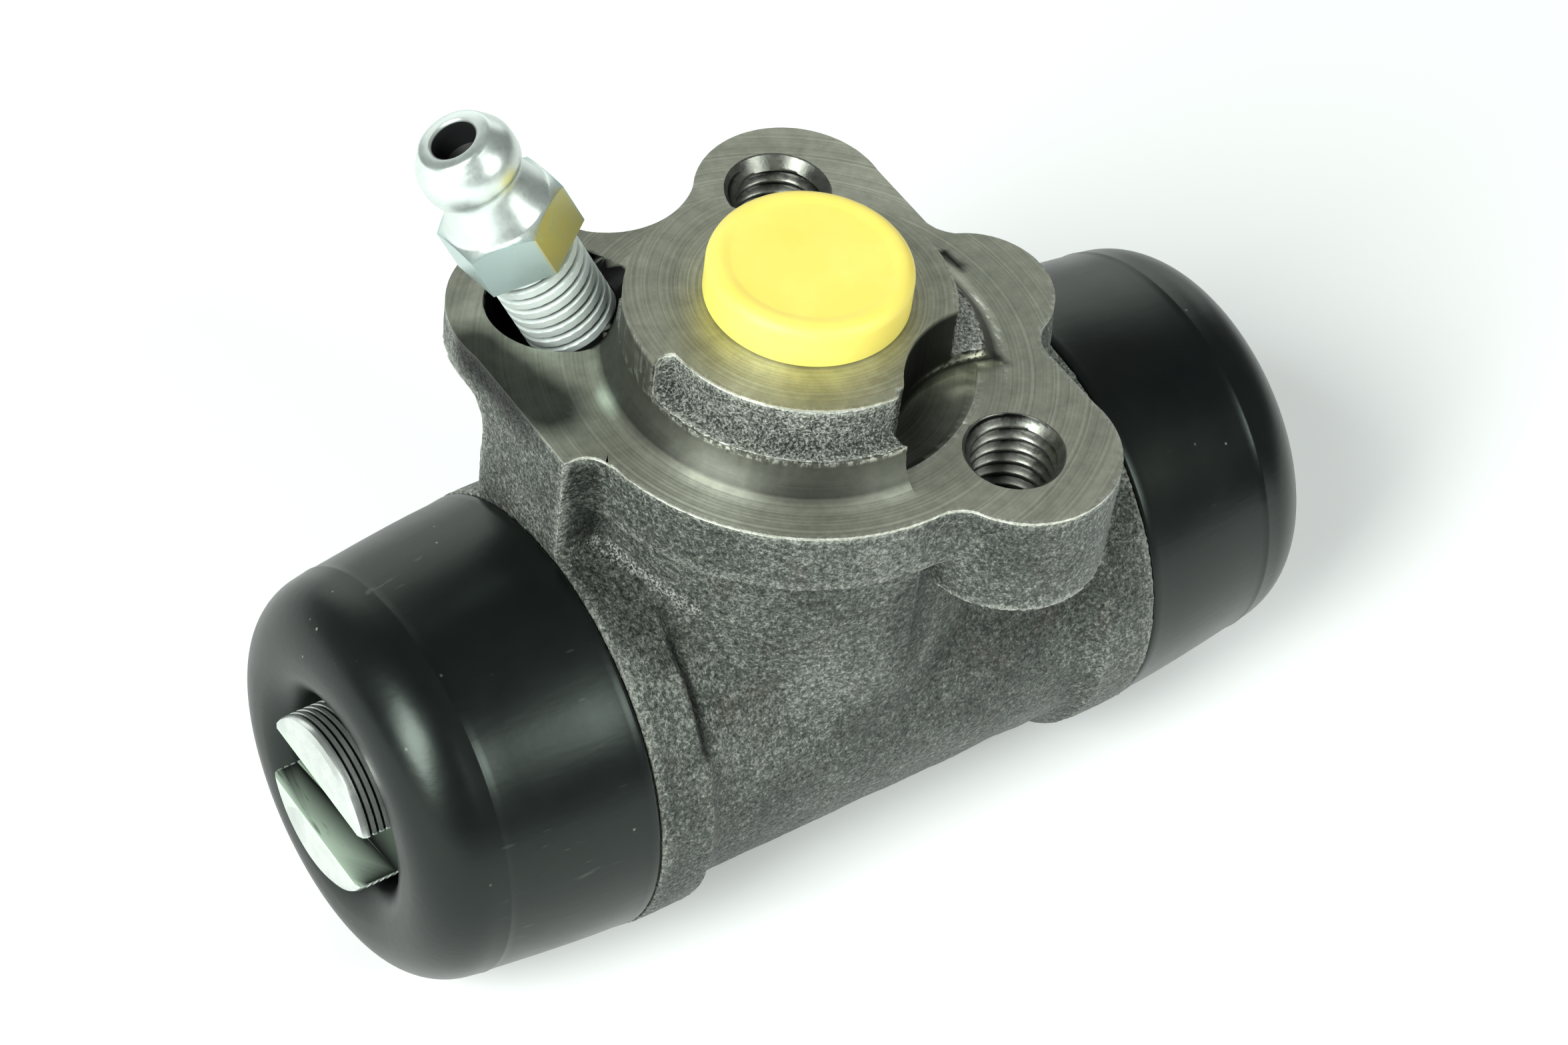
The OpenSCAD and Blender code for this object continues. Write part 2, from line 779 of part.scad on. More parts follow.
module port_plug() {
    stem_r = port_d / 2 - plug_gap;
    head_r = plug_head_d / 2;
    z0 = spigot_h + butt_gap;
    color([0.96, 0.86, 0.18])
        datum()
            rotate_extrude()
                difference() {
                    union() {
                        translate([0, z0])
                            square([head_r, plug_head_t - plug_round]);
                        translate([0, z0])
                            square([head_r - plug_round, plug_head_t]);
                        translate([head_r - plug_round, z0 + plug_head_t - plug_round])
                            circle(r = plug_round);
                        translate([0, z0 - plug_stem_len])
                            square([stem_r, plug_stem_len + eps]);
                    }
                    translate([-eps, z0 - plug_stem_len - eps])
                        square([stem_r - plug_wall, plug_stem_len]);
                }
}

cylinder_body();
left_boot();
right_boot();
left_piston();
right_piston();
left_cup();
right_cup();
left_expander();
right_expander();
return_spring();
bleed_screw();
port_plug();
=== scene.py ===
"""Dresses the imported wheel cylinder: cast body, boots, pistons, bleed screw, plug and studio."""
import logging
import math
from dataclasses import dataclass
from enum import Enum
from typing import Iterable

import bmesh
import bpy
from mathutils import Matrix, Vector, noise


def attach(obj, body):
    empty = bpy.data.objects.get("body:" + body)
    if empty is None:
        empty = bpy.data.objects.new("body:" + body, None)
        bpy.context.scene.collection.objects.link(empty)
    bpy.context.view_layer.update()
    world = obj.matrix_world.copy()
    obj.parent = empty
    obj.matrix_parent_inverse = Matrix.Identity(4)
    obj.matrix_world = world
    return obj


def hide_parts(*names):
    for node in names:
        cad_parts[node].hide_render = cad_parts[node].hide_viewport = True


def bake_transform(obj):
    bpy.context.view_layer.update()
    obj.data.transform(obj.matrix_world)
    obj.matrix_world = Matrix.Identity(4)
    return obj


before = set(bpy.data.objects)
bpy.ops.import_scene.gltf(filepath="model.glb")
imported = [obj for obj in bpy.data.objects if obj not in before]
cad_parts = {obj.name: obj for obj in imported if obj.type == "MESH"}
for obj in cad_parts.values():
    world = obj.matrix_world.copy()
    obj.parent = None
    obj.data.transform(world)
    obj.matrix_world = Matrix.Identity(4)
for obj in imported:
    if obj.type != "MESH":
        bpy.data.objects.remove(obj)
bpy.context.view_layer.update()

LOG = logging.getLogger("wheel_cylinder")
MM = 0.001
TURN = 2.0 * math.pi
WELD = 1e-4

Profile = list[tuple[float, float]]
Colour = tuple[float, float, float, float]
Socket = bpy.types.NodeSocket
Vert = bmesh.types.BMVert


class Side(Enum):
    """The two ends of the bore, by the direction that leads outward along X."""

    LEFT = -1
    RIGHT = 1

    @property
    def word(self) -> str:
        """The end's name as the nodes spell it."""
        return self.name.lower()


@dataclass(frozen=True)
class Datum:
    """Places that the pieces share, in millimetres in the row frame."""

    spigot_x: float = -6.9
    bore_z: float = -22.5
    middle_x: float = -5.3
    half_len: float = 18.25
    hole_y: float = 12.4
    bleed_foot: tuple[float, float] = (-16.8, 10.5)
    bleed_tilt: float = math.radians(28.0)
    bleed_heading: float = math.radians(152.0)

    @property
    def left_end(self) -> float:
        """Where the barrel's left end is along X."""
        return self.middle_x - self.half_len

    def bore(self, side: Side) -> Matrix:
        """Gives the frame whose Z runs outward along the bore from the barrel's middle."""
        turn = Matrix.Rotation(math.pi / 2.0 * side.value, 4, "Y")
        return Matrix.Translation((self.middle_x, 0.0, self.bore_z)) @ turn

    def bleed(self) -> Matrix:
        """Gives the frame whose Z runs outward along the bleed screw from the mounting face.

        Returns:
            The matrix from that frame to the row frame.
        """
        foot = Matrix.Translation((*self.bleed_foot, 0.0))
        heading = Matrix.Rotation(self.bleed_heading, 4, "Z")
        return foot @ heading @ Matrix.Rotation(self.bleed_tilt, 4, "Y")

    def from_bleed(self, p: Vector) -> float:
        """Gives a point's distance from the bleed screw's axis."""
        local = self.bleed().inverted() @ p
        return math.hypot(local.x, local.y)

    def spigot(self) -> Matrix:
        """Gives the frame whose Z runs up the spigot from the mounting face."""
        return Matrix.Translation((self.spigot_x, 0.0, 0.0))

    def from_spigot(self, p: Vector) -> float:
        """Gives a point's distance from the spigot's axis."""
        return math.hypot(p.x - self.spigot_x, p.y)


DATUM = Datum()


class Graph:
    """A material's node tree with a short way to add and join nodes."""

    # Where the Mix node keeps its colours and its numbers.
    COLOUR_A, COLOUR_B, COLOUR_OUT = 6, 7, 2
    NUMBER_A, NUMBER_B, NUMBER_OUT = 2, 3, 0

    def __init__(self, name: str) -> None:
        """Starts an empty material.

        Args:
            name: The material's name.
        """
        self.material = bpy.data.materials.new(name)
        self.material.use_nodes = True
        self.tree = self.material.node_tree
        self.tree.nodes.clear()
        out = self.tree.nodes.new("ShaderNodeOutputMaterial")
        self.shader = self.tree.nodes.new("ShaderNodeBsdfPrincipled")
        self.tree.links.new(self.shader.outputs["BSDF"], out.inputs["Surface"])
        self.coords = self.tree.nodes.new("ShaderNodeTexCoord").outputs["Object"]

    def node(self, kind: str, inputs: dict | None = None, **settings: object) -> bpy.types.Node:
        """Adds a node.

        Args:
            kind: The node's type without its prefix.
            inputs: Values or sockets for its inputs, by name or index.
            settings: Values of the node's own properties.

        Returns:
            The node.
        """
        made = self.tree.nodes.new("ShaderNode" + kind)
        for key, value in settings.items():
            setattr(made, key, value)
        for key, value in (inputs or {}).items():
            self.feed(made.inputs[key], value)
        return made

    def feed(self, socket: Socket, value: object) -> None:
        """Joins a socket to another, or sets its value.

        Args:
            socket: The input.
            value: An output socket or a plain value.
        """
        if isinstance(value, Socket):
            self.tree.links.new(value, socket)
        else:
            socket.default_value = value

    def set(self, **inputs: object) -> None:
        """Feeds the shader's inputs, whose names are written with underscores for spaces."""
        for key, value in inputs.items():
            self.feed(self.shader.inputs[key.replace("_", " ")], value)

    def math(self, operation: str, a: object, b: object = 0.0, clamp: bool = False) -> Socket:
        """Works out a sum of two numbers or sockets, kept between 0 and 1 when clamped."""
        return self.node("Math", {0: a, 1: b}, operation=operation, use_clamp=clamp).outputs[0]

    def weigh(self, *terms: tuple[object, float]) -> Socket:
        """Adds patterns up, each times its weight.

        Args:
            terms: Sockets and their weights.

        Returns:
            The total's socket.
        """
        parts = [self.math("MULTIPLY", socket, weight) for socket, weight in terms]
        total = parts[0]
        for part in parts[1:]:
            total = self.math("ADD", total, part)
        return total

    def grains(self, scale: float, detail: float = 2.0, roughness: float = 0.5,
               vector: object = None) -> Socket:
        """Adds a noise pattern and gives its strength.

        Args:
            scale: Its scale per metre.
            detail: Its octaves.
            roughness: How strong the fine octaves are.
            vector: Where it is read, or the object's own coordinates.

        Returns:
            The pattern's socket, from 0 to 1.
        """
        made = self.node("TexNoise", {"Vector": vector or self.coords, "Scale": scale,
                                      "Detail": detail, "Roughness": roughness})
        return made.outputs["Fac"]

    def cells(self, scale: float) -> Socket:
        """Adds a pattern of round grains and gives the distance from each grain's middle."""
        made = self.node("TexVoronoi", {"Vector": self.coords, "Scale": scale, "Randomness": 1.0})
        return made.outputs["Distance"]

    def specks(self, scale: float, size: tuple[float, float], patch_scale: float,
               patch: tuple[float, float]) -> Socket:
        """Adds small dots that gather in patches.

        Args:
            scale: How dense the dots are, per metre.
            size: Where a dot's edge starts and ends, as shares of its cell.
            patch_scale: The patches' scale per metre.
            patch: Where a patch's edge starts and ends.

        Returns:
            The dots' socket.
        """
        dots = self.math("SUBTRACT", 1.0, self.span(self.cells(scale), *size))
        return self.math("MULTIPLY", dots, self.span(self.grains(patch_scale), *patch))

    def ramp(self, fac: object, stops: Iterable[tuple[float, Colour]]) -> Socket:
        """Adds a colour ramp.

        Args:
            fac: Where the ramp is read.
            stops: Places and colours.

        Returns:
            The colour's socket.
        """
        made = self.node("ValToRGB", {"Fac": fac})
        elements = made.color_ramp.elements
        for index, (place, colour) in enumerate(stops):
            stop = elements[index] if index < 2 else elements.new(place)
            stop.position = place
            stop.color = colour
        return made.outputs["Color"]

    def span(self, value: object, low: float, high: float, to_low: float = 0.0,
             to_high: float = 1.0) -> Socket:
        """Maps a range onto another and clamps it.

        Args:
            value: The socket to map.
            low: Start of its range.
            high: End of its range.
            to_low: Result at the start.
            to_high: Result at the end.

        Returns:
            The result's socket.
        """
        made = self.node("MapRange", {"Value": value, "From Min": low, "From Max": high,
                                      "To Min": to_low, "To Max": to_high})
        return made.outputs["Result"]

    def mix(self, fac: object, a: object, b: object) -> Socket:
        """Mixes two colours by the share of the second."""
        inputs = {"Factor": fac, self.COLOUR_A: a, self.COLOUR_B: b}
        return self.node("Mix", inputs, data_type="RGBA").outputs[self.COLOUR_OUT]

    def blend(self, fac: object, a: object, b: object) -> Socket:
        """Mixes two numbers by the share of the second."""
        inputs = {"Factor": fac, self.NUMBER_A: a, self.NUMBER_B: b}
        return self.node("Mix", inputs, data_type="FLOAT").outputs[self.NUMBER_OUT]

    def attribute(self, name: str) -> Socket:
        """Gives a number stored on the piece's points."""
        return self.node("Attribute", attribute_name=name).outputs["Fac"]

    def bump(self, height: object, distance: float, strength: float) -> Socket:
        """Adds a bump, with its depth in metres, and gives the normal."""
        made = self.node("Bump", {"Height": height, "Distance": distance, "Strength": strength})
        return made.outputs["Normal"]

    def offset(self, centre: Vector) -> Socket:
        """Gives the level way to the point from an upright axis, in metres."""
        place = {"Location": (-centre.x, -centre.y, 0.0), "Scale": (1.0, 1.0, 0.0)}
        return self.node("Mapping", {"Vector": self.coords, **place}).outputs[0]

    def rings(self, radius: object, per_metre: float, detail: float = 3.0) -> Socket:
        """Adds tool lines that follow a radius, with finer ones between for more detail."""
        inputs = {"W": self.math("MULTIPLY", radius, per_metre), "Scale": 1.0, "Detail": detail,
                  "Roughness": 0.65}
        return self.node("TexNoise", inputs, noise_dimensions="1D").outputs["Fac"]


@dataclass(frozen=True)
class IronFinish:
    """Rough grey iron that turns to satin turned metal where the mounting face was machined."""

    dark: Colour = (0.016, 0.0175, 0.016, 1.0)
    middle: Colour = (0.093, 0.107, 0.092, 1.0)
    light: Colour = (0.40, 0.415, 0.375, 1.0)
    rust: Colour = (0.13, 0.075, 0.045, 1.0)
    turned_dark: Colour = (0.33, 0.338, 0.28, 1.0)
    turned_light: Colour = (0.60, 0.615, 0.51, 1.0)
    # Colour of the painted highlights on edges, rims, lines and the raw spigot skin.
    painted_gleam: Colour = (0.80, 0.80, 0.74, 1.0)
    # Colour of the painted shade in holes, corners and pockets.
    soot: Colour = (0.006, 0.006, 0.006, 1.0)
    grain_scale: float = 6200.0
    coarse_scale: float = 2900.0
    painted_shade_scale: float = 2900.0
    nick_scale: float = 2700.0
    patch_scale: float = 130.0
    rust_scale: float = 300.0
    rust_share: float = 0.14
    smear_scale: float = 900.0
    lines_per_metre: float = 5200.0
    bands_per_metre: float = 700.0
    # Heights over which the raw casting gets painted shade low down.
    underside: tuple[float, float] = (-0.033, -0.010)
    cove_foot: tuple[float, float] = (0.00006, 0.00040)
    cove_top: tuple[float, float] = (0.0048, 0.0052)
    # How far painted shade darkens the turned surfaces between the face and the spigot's top.
    cove_shade: float = 0.80
    relief: float = 0.00022

    def build(self) -> bpy.types.Material:
        """Builds the material.

        Returns:
            The material.
        """
        g = Graph("cast_and_turned_iron")
        machined = g.span(g.attribute("machined"), 0.35, 0.65)
        grain = g.grains(self.grain_scale, 3.0, 0.8)
        coarse = g.grains(self.coarse_scale, 2.0, 0.6)
        height = g.node("SeparateXYZ", {0: g.coords}).outputs["Z"]
        below_top = g.span(height, *self.cove_top, 1.0, 0.0)
        cove = g.math("MULTIPLY", g.span(height, *self.cove_foot), below_top)
        out = g.offset(Vector((DATUM.spigot_x, 0.0, 0.0)) * MM)
        around = g.node("VectorMath", {0: out}, operation="LENGTH").outputs["Value"]
        lines = g.rings(around, self.lines_per_metre)
        turned = self.turned_skin(g, lines, g.rings(around, self.bands_per_metre, 1.0))
        # Painted shade on the turned cove and spigot side.
        toned = g.mix(g.math("MULTIPLY", cove, self.cove_shade), turned, self.dark)
        body = g.mix(machined, self.cast_skin(g, g.weigh((grain, 0.62), (coarse, 0.38)), height), toned)
        # Painted highlights on edges, rims, lines and the raw spigot skin.
        edges = self.bright_edges(g, machined, grain)
        # Painted shade: black in the holes, darker in corners, pockets and the scallop.
        painted_shade = g.attribute("painted_shade")
        g.set(Base_Color=g.mix(painted_shade, g.mix(edges, body, self.painted_gleam), self.soot))
        g.set(Metallic=g.blend(machined, 0.55, 0.88))
        g.set(Specular_IOR_Level=g.span(painted_shade, 0.0, 1.0, 0.5, 0.0))
        dull = g.math("MULTIPLY", cove, 0.12)
        turned_rough = g.math("ADD", g.span(lines, 0.3, 0.7, 0.36, 0.46), dull)
        rough = g.blend(machined, g.span(grain, 0.3, 0.7, 0.54, 0.30), turned_rough)
        g.set(Roughness=g.blend(edges, rough, 0.30), Anisotropic=g.math("MULTIPLY", machined, 0.75))
        g.set(Tangent=g.node("VectorMath", {0: out}, operation="NORMALIZE").outputs["Vector"])
        pits = g.math("SUBTRACT", grain, g.math("MULTIPLY", g.cells(self.painted_shade_scale), 0.6))
        relief = g.blend(machined, g.math("ADD", pits, g.math("MULTIPLY", coarse, 0.8)),
                         g.math("MULTIPLY", lines, 0.05))
        g.set(Normal=g.bump(relief, self.relief, 0.9))
        return g.material

    def cast_skin(self, g: Graph, tone: Socket, height: Socket) -> Socket:
        """Colours the raw casting: patchy, with painted shade low down and in corners, lighter on
        edges.

        Args:
            g: The material.
            tone: The grain's strength.
            height: The point's height.

        Returns:
            The colour.
        """
        hollow = g.attribute("hollow")
        patch = g.span(g.grains(self.patch_scale, 3.0, 0.6), 0.3, 0.7, -0.048, 0.048)
        # Painted shade toward the bottom of the casting.
        uneven = g.math("ADD", patch, g.span(height, *self.underside, -0.070, 0.0))
        edged = g.math("ADD", g.math("ADD", tone, uneven), g.span(hollow, 0.15, 0.45, 0.10, 0.0))
        cast = g.ramp(edged, ((0.36, self.dark), (0.50, self.middle), (0.66, self.light)))
        stain = g.span(g.grains(self.rust_scale, 3.0, 0.6), 0.56, 0.72)
        rust = g.math("MULTIPLY", stain, self.rust_share)
        # Painted shade in corners, where the skin is hollow.
        return g.mix(g.span(hollow, 0.54, 0.80, 0.0, 0.85), g.mix(rust, cast, self.rust), self.soot)

    def turned_skin(self, g: Graph, lines: Socket, bands: Socket) -> Socket:
        """Colours the turned face with tool lines, broad bands and smears."""
        tool = g.weigh((bands, 0.20), (g.grains(self.smear_scale, 4.0, 0.7), 0.45), (lines, 0.35))
        return g.ramp(tool, ((0.34, self.turned_dark), (0.66, self.turned_light)))

    def bright_edges(self, g: Graph, machined: Socket, grain: Socket) -> Socket:
        """Gives the painted highlights on edges and lines, which break up into flecks except where they
        are strongest.

        Args:
            g: The material.
            machined: Where the iron is cut.
            grain: The cast grain.

        Returns:
            The painted highlights' strength.
        """
        edge = g.attribute("painted_gleam")
        nicks = g.span(g.grains(self.nick_scale, 3.0, 0.7), 0.45, 0.57)
        broken = g.blend(machined, g.span(grain, 0.47, 0.62), nicks)
        kept = g.math("MAXIMUM", broken, g.span(edge, 0.84, 0.96))
        return g.math("MULTIPLY", g.span(edge, 0.20, 0.95), kept)


@dataclass(frozen=True)
class TappedFinish:
    """Freshly cut thread in the iron, with painted shade toward the thread's roots."""

    dark: Colour = (0.012, 0.012, 0.011, 1.0)
    light: Colour = (0.17, 0.175, 0.155, 1.0)
    drag_scale: float = 1500.0

    def build(self) -> bpy.types.Material:
        """Builds the material.

        Returns:
            The material.
        """
        g = Graph("tapped_iron")
        drag = g.grains(self.drag_scale, 4.0, 0.7)
        # Painted shade: darker toward the thread's root, lighter on its crest.
        tone = g.weigh((drag, 0.45), (g.span(g.attribute("crest"), 0.05, 0.9), 0.55))
        g.set(Base_Color=g.ramp(tone, ((0.25, self.dark), (0.75, self.light))), Metallic=0.85)
        g.set(Roughness=g.span(drag, 0.3, 0.7, 0.24, 0.42), Normal=g.bump(drag, 0.00003, 0.5))
        return g.material


@dataclass(frozen=True)
class RubberFinish:
    """Black moulded rubber with dust, smudges and fine scratches."""

    name: str
    base: Colour = (0.0018, 0.0024, 0.0030, 1.0)
    worn: Colour = (0.0050, 0.0064, 0.0062, 1.0)
    dust: Colour = (0.30, 0.32, 0.30, 1.0)
    sheen: Colour = (0.86, 1.0, 0.91, 1.0)
    dust_share: float = 1.0
    smudge_scale: float = 85.0
    fine_scale: float = 1800.0
    scratch_scale: float = 1500.0
    scratch_run: tuple[float, float, float] = (0.25, 1.0, 1.6)
    speck_scale: float = 620.0
    patch_scale: float = 160.0

    def build(self) -> bpy.types.Material:
        """Builds the material.

        Returns:
            The material.
        """
        g = Graph(self.name)
        smudge = g.grains(self.smudge_scale, 4.0, 0.6)
        fine = g.grains(self.fine_scale)
        run = g.node("Mapping", {"Vector": g.coords, "Scale": self.scratch_run}).outputs[0]
        scratch = g.grains(self.scratch_scale, vector=run)
        specks = g.specks(self.speck_scale, (0.035, 0.075), self.patch_scale, (0.55, 0.62))
        dust = g.math("MULTIPLY", g.math("MULTIPLY", specks, self.dust_share), 0.75)
        line = g.math("MULTIPLY", g.span(scratch, 0.69, 0.74), g.span(smudge, 0.50, 0.60))
        body = g.mix(g.span(smudge, 0.35, 0.75), self.base, self.worn)
        marks = g.math("ADD", dust, g.math("MULTIPLY", line, 0.10), clamp=True)
        g.set(Base_Color=g.mix(marks, body, self.dust), Roughness=g.span(smudge, 0.3, 0.7, 0.27, 0.38))
        g.set(Specular_IOR_Level=0.39, Specular_Tint=self.sheen)
        g.set(Normal=g.bump(g.math("ADD", g.math("MULTIPLY", fine, 0.5), scratch), 0.00002, 0.35))
        return g.material


@dataclass(frozen=True)
class PlatedFinish:
    """Bright zinc plate: satin on the thread, painted shade where it is hollow and straw gold where
    marked.
    """

    low: Colour = (0.66, 0.72, 0.69, 1.0)
    high: Colour = (0.76, 0.83, 0.80, 1.0)
    flat: Colour = (0.50, 0.64, 0.62, 1.0)
    gold: Colour = (0.62, 0.59, 0.29, 1.0)
    shade: Colour = (0.010, 0.010, 0.011, 1.0)
    cloud_scale: float = 420.0
    fine_scale: float = 3600.0

    def build(self) -> bpy.types.Material:
        """Builds the material.

        Returns:
            The material.
        """
        g = Graph("zinc_plate")
        cloud = g.grains(self.cloud_scale, 3.0, 0.6)
        fine = g.grains(self.fine_scale, 3.0, 0.7)
        tone = g.weigh((cloud, 0.6), (fine, 0.4))
        zinc = g.ramp(tone, ((0.36, self.low), (0.60, self.high)))
        faced = g.mix(g.math("MULTIPLY", g.attribute("flat"), 0.85), zinc, self.flat)
        tint = g.math("MULTIPLY", g.attribute("gold"), g.span(cloud, 0.25, 0.55, 0.55, 1.0))
        hollow, satin = g.attribute("hollow"), g.attribute("satin")
        # Painted shade in the bore and the thread's roots.
        g.set(Base_Color=g.mix(hollow, g.mix(tint, faced, self.gold), self.shade))
        g.set(Metallic=g.blend(hollow, g.blend(satin, 0.84, 0.40), 0.2))
        rough = g.blend(satin, g.span(tone, 0.3, 0.7, 0.24, 0.40), 0.52)
        g.set(Roughness=g.blend(hollow, rough, 0.6), Normal=g.bump(fine, 0.000006, 0.4))
        return g.material


@dataclass(frozen=True)
class TurnedSteelFinish:
    """Piston steel: bright turned skin, milled slot walls with scratches."""

    low: Colour = (0.60, 0.64, 0.61, 1.0)
    high: Colour = (0.76, 0.79, 0.76, 1.0)
    milled: Colour = (0.62, 0.76, 0.62, 1.0)
    scratch: Colour = (0.10, 0.13, 0.10, 1.0)
    # Colour of the painted shade at the bottom of the tip's ring grooves.
    groove: Colour = (0.012, 0.013, 0.013, 1.0)
    cloud_scale: float = 500.0
    fine_scale: float = 3000.0
    drag_scale: float = 1700.0
    drag_run: tuple[float, float, float] = (1.0, 0.12, 1.0)
    drag_slant: float = math.radians(24.0)

    def build(self) -> bpy.types.Material:
        """Builds the material.

        Returns:
            The material.
        """
        g = Graph("turned_piston_steel")
        cloud = g.grains(self.cloud_scale, 3.0, 0.6)
        fine = g.grains(self.fine_scale, 3.0, 0.7)
        tone = g.weigh((cloud, 0.86), (fine, 0.14))
        bright = g.ramp(tone, ((0.32, self.low), (0.62, self.high)))
        slanted = g.node("Mapping", {"Vector": g.coords, "Scale": self.drag_run,
                                     "Rotation": (0.0, 0.0, self.drag_slant)}).outputs[0]
        drag = g.grains(self.drag_scale, 3.0, 0.6, slanted)
        mill = g.mix(g.span(drag, 0.60, 0.70), self.milled, self.scratch)
        slot = g.attribute("slot")
        g.set(Base_Color=g.mix(g.attribute("groove"), g.mix(slot, bright, mill), self.groove))
        turned_rough = g.span(tone, 0.3, 0.7, 0.20, 0.34)
        milled_rough = g.span(drag, 0.3, 0.7, 0.34, 0.50)
        g.set(Metallic=g.blend(slot, 0.88, 0.45), Roughness=g.blend(slot, turned_rough, milled_rough))
        g.set(Normal=g.bump(g.math("ADD", fine, drag), 0.000003, 0.2))
        return g.material


@dataclass(frozen=True)
class PlugFinish:
    """Soft yellow moulded plastic."""

    base: Colour = (0.90, 0.73, 0.135, 1.0)
    worn: Colour = (0.93, 0.79, 0.18, 1.0)
    mark: Colour = (0.66, 0.48, 0.07, 1.0)
    cloud_scale: float = 180.0
    fine_scale: float = 2200.0
    speck_scale: float = 520.0
    patch_scale: float = 210.0

    def build(self) -> bpy.types.Material:
        """Builds the material.

        Returns:
            The material.
        """
        g = Graph("yellow_plastic")
        cloud = g.grains(self.cloud_scale, 3.0, 0.6)
        fine = g.grains(self.fine_scale, 3.0, 0.6)
        marks = g.specks(self.speck_scale, (0.04, 0.07), self.patch_scale, (0.58, 0.64))
        skin = g.mix(g.span(cloud, 0.35, 0.7), self.base, self.worn)
        g.set(Base_Color=g.mix(g.math("MULTIPLY", marks, 0.35), skin, self.mark))
        g.set(Roughness=g.span(cloud, 0.3, 0.7, 0.42, 0.55))
        g.set(Subsurface_Weight=0.12, Subsurface_Scale=0.002)
        g.set(Normal=g.bump(g.math("ADD", fine, g.math("MULTIPLY", cloud, 2.0)), 0.00002, 0.35))
        return g.material


@dataclass(frozen=True)
class SpringFinish:
    """Drawn and pressed spring steel."""

    low: Colour = (0.22, 0.22, 0.21, 1.0)
    high: Colour = (0.48, 0.48, 0.46, 1.0)
    drawn_scale: float = 1400.0

    def build(self) -> bpy.types.Material:
        """Builds the material.

        Returns:
            The material.
        """
        g = Graph("spring_steel")
        drawn = g.grains(self.drawn_scale, 3.0, 0.6)
        g.set(Base_Color=g.ramp(drawn, ((0.3, self.low), (0.7, self.high))), Metallic=0.9)
        g.set(Roughness=g.span(drawn, 0.3, 0.7, 0.28, 0.45), Normal=g.bump(drawn, 0.00001, 0.5))
        return g.material


class Finishes:
    """Builds each material once and hands it out by name."""

    def __init__(self) -> None:
        """Builds the materials."""
        self.iron = IronFinish().build()
        self.tapped = TappedFinish().build()
        self.boot = RubberFinish("boot_rubber").build()
        self.cup = RubberFinish("cup_rubber", base=(0.014, 0.014, 0.014, 1.0), dust_share=0.2).build()
        self.zinc = PlatedFinish().build()
        self.piston = TurnedSteelFinish().build()
        self.plug = PlugFinish().build()
        self.spring = SpringFinish().build()


def held(value: float, low: float = 0.0, high: float = 1.0) -> float:
    """Keeps a number between two limits."""
    return min(high, max(low, value))


def placed(name: str, data: bpy.types.ID) -> bpy.types.Object:
    """Puts a new object with this data in the scene.

    Args:
        name: The object's name.
        data: Its mesh, light or camera.

    Returns:
        The object.
    """
    made = bpy.data.objects.new(name, data)
    bpy.context.scene.collection.objects.link(made)
    return made


def settled(bm: bmesh.types.BMesh, name: str) -> bpy.types.Mesh:
    """Turns a bmesh into a mesh and frees it.

    Args:
        bm: The bmesh.
        name: The mesh's name.

    Returns:
        The mesh.
    """
    mesh = bpy.data.meshes.new(name)
    bm.to_mesh(mesh)
    bm.free()
    return mesh


def discard(helper: bpy.types.Object) -> None:
    """Removes a helper object and its mesh.

    Args:
        helper: The object.
    """
    mesh = helper.data
    bpy.data.objects.remove(helper)
    bpy.data.meshes.remove(mesh)


def shaped(blank: bmesh.types.BMesh, kind: str, **settings: object) -> bmesh.types.BMesh:
    """Runs one modifier over a mesh.

    Args:
        blank: The mesh, which is used up.
        kind: The modifier's type.
        settings: Values of the modifier's properties.

    Returns:
        The new mesh.
    """
    holder = placed("blank", settled(blank, "blank"))
    modifier = holder.modifiers.new("work", kind)
    for key, value in settings.items():
        setattr(modifier, key, value)
    graph = bpy.context.evaluated_depsgraph_get()
    result = bpy.data.meshes.new_from_object(holder.evaluated_get(graph))
    made = bmesh.new()
    made.from_mesh(result)
    bpy.data.meshes.remove(result)
    discard(holder)
    return made


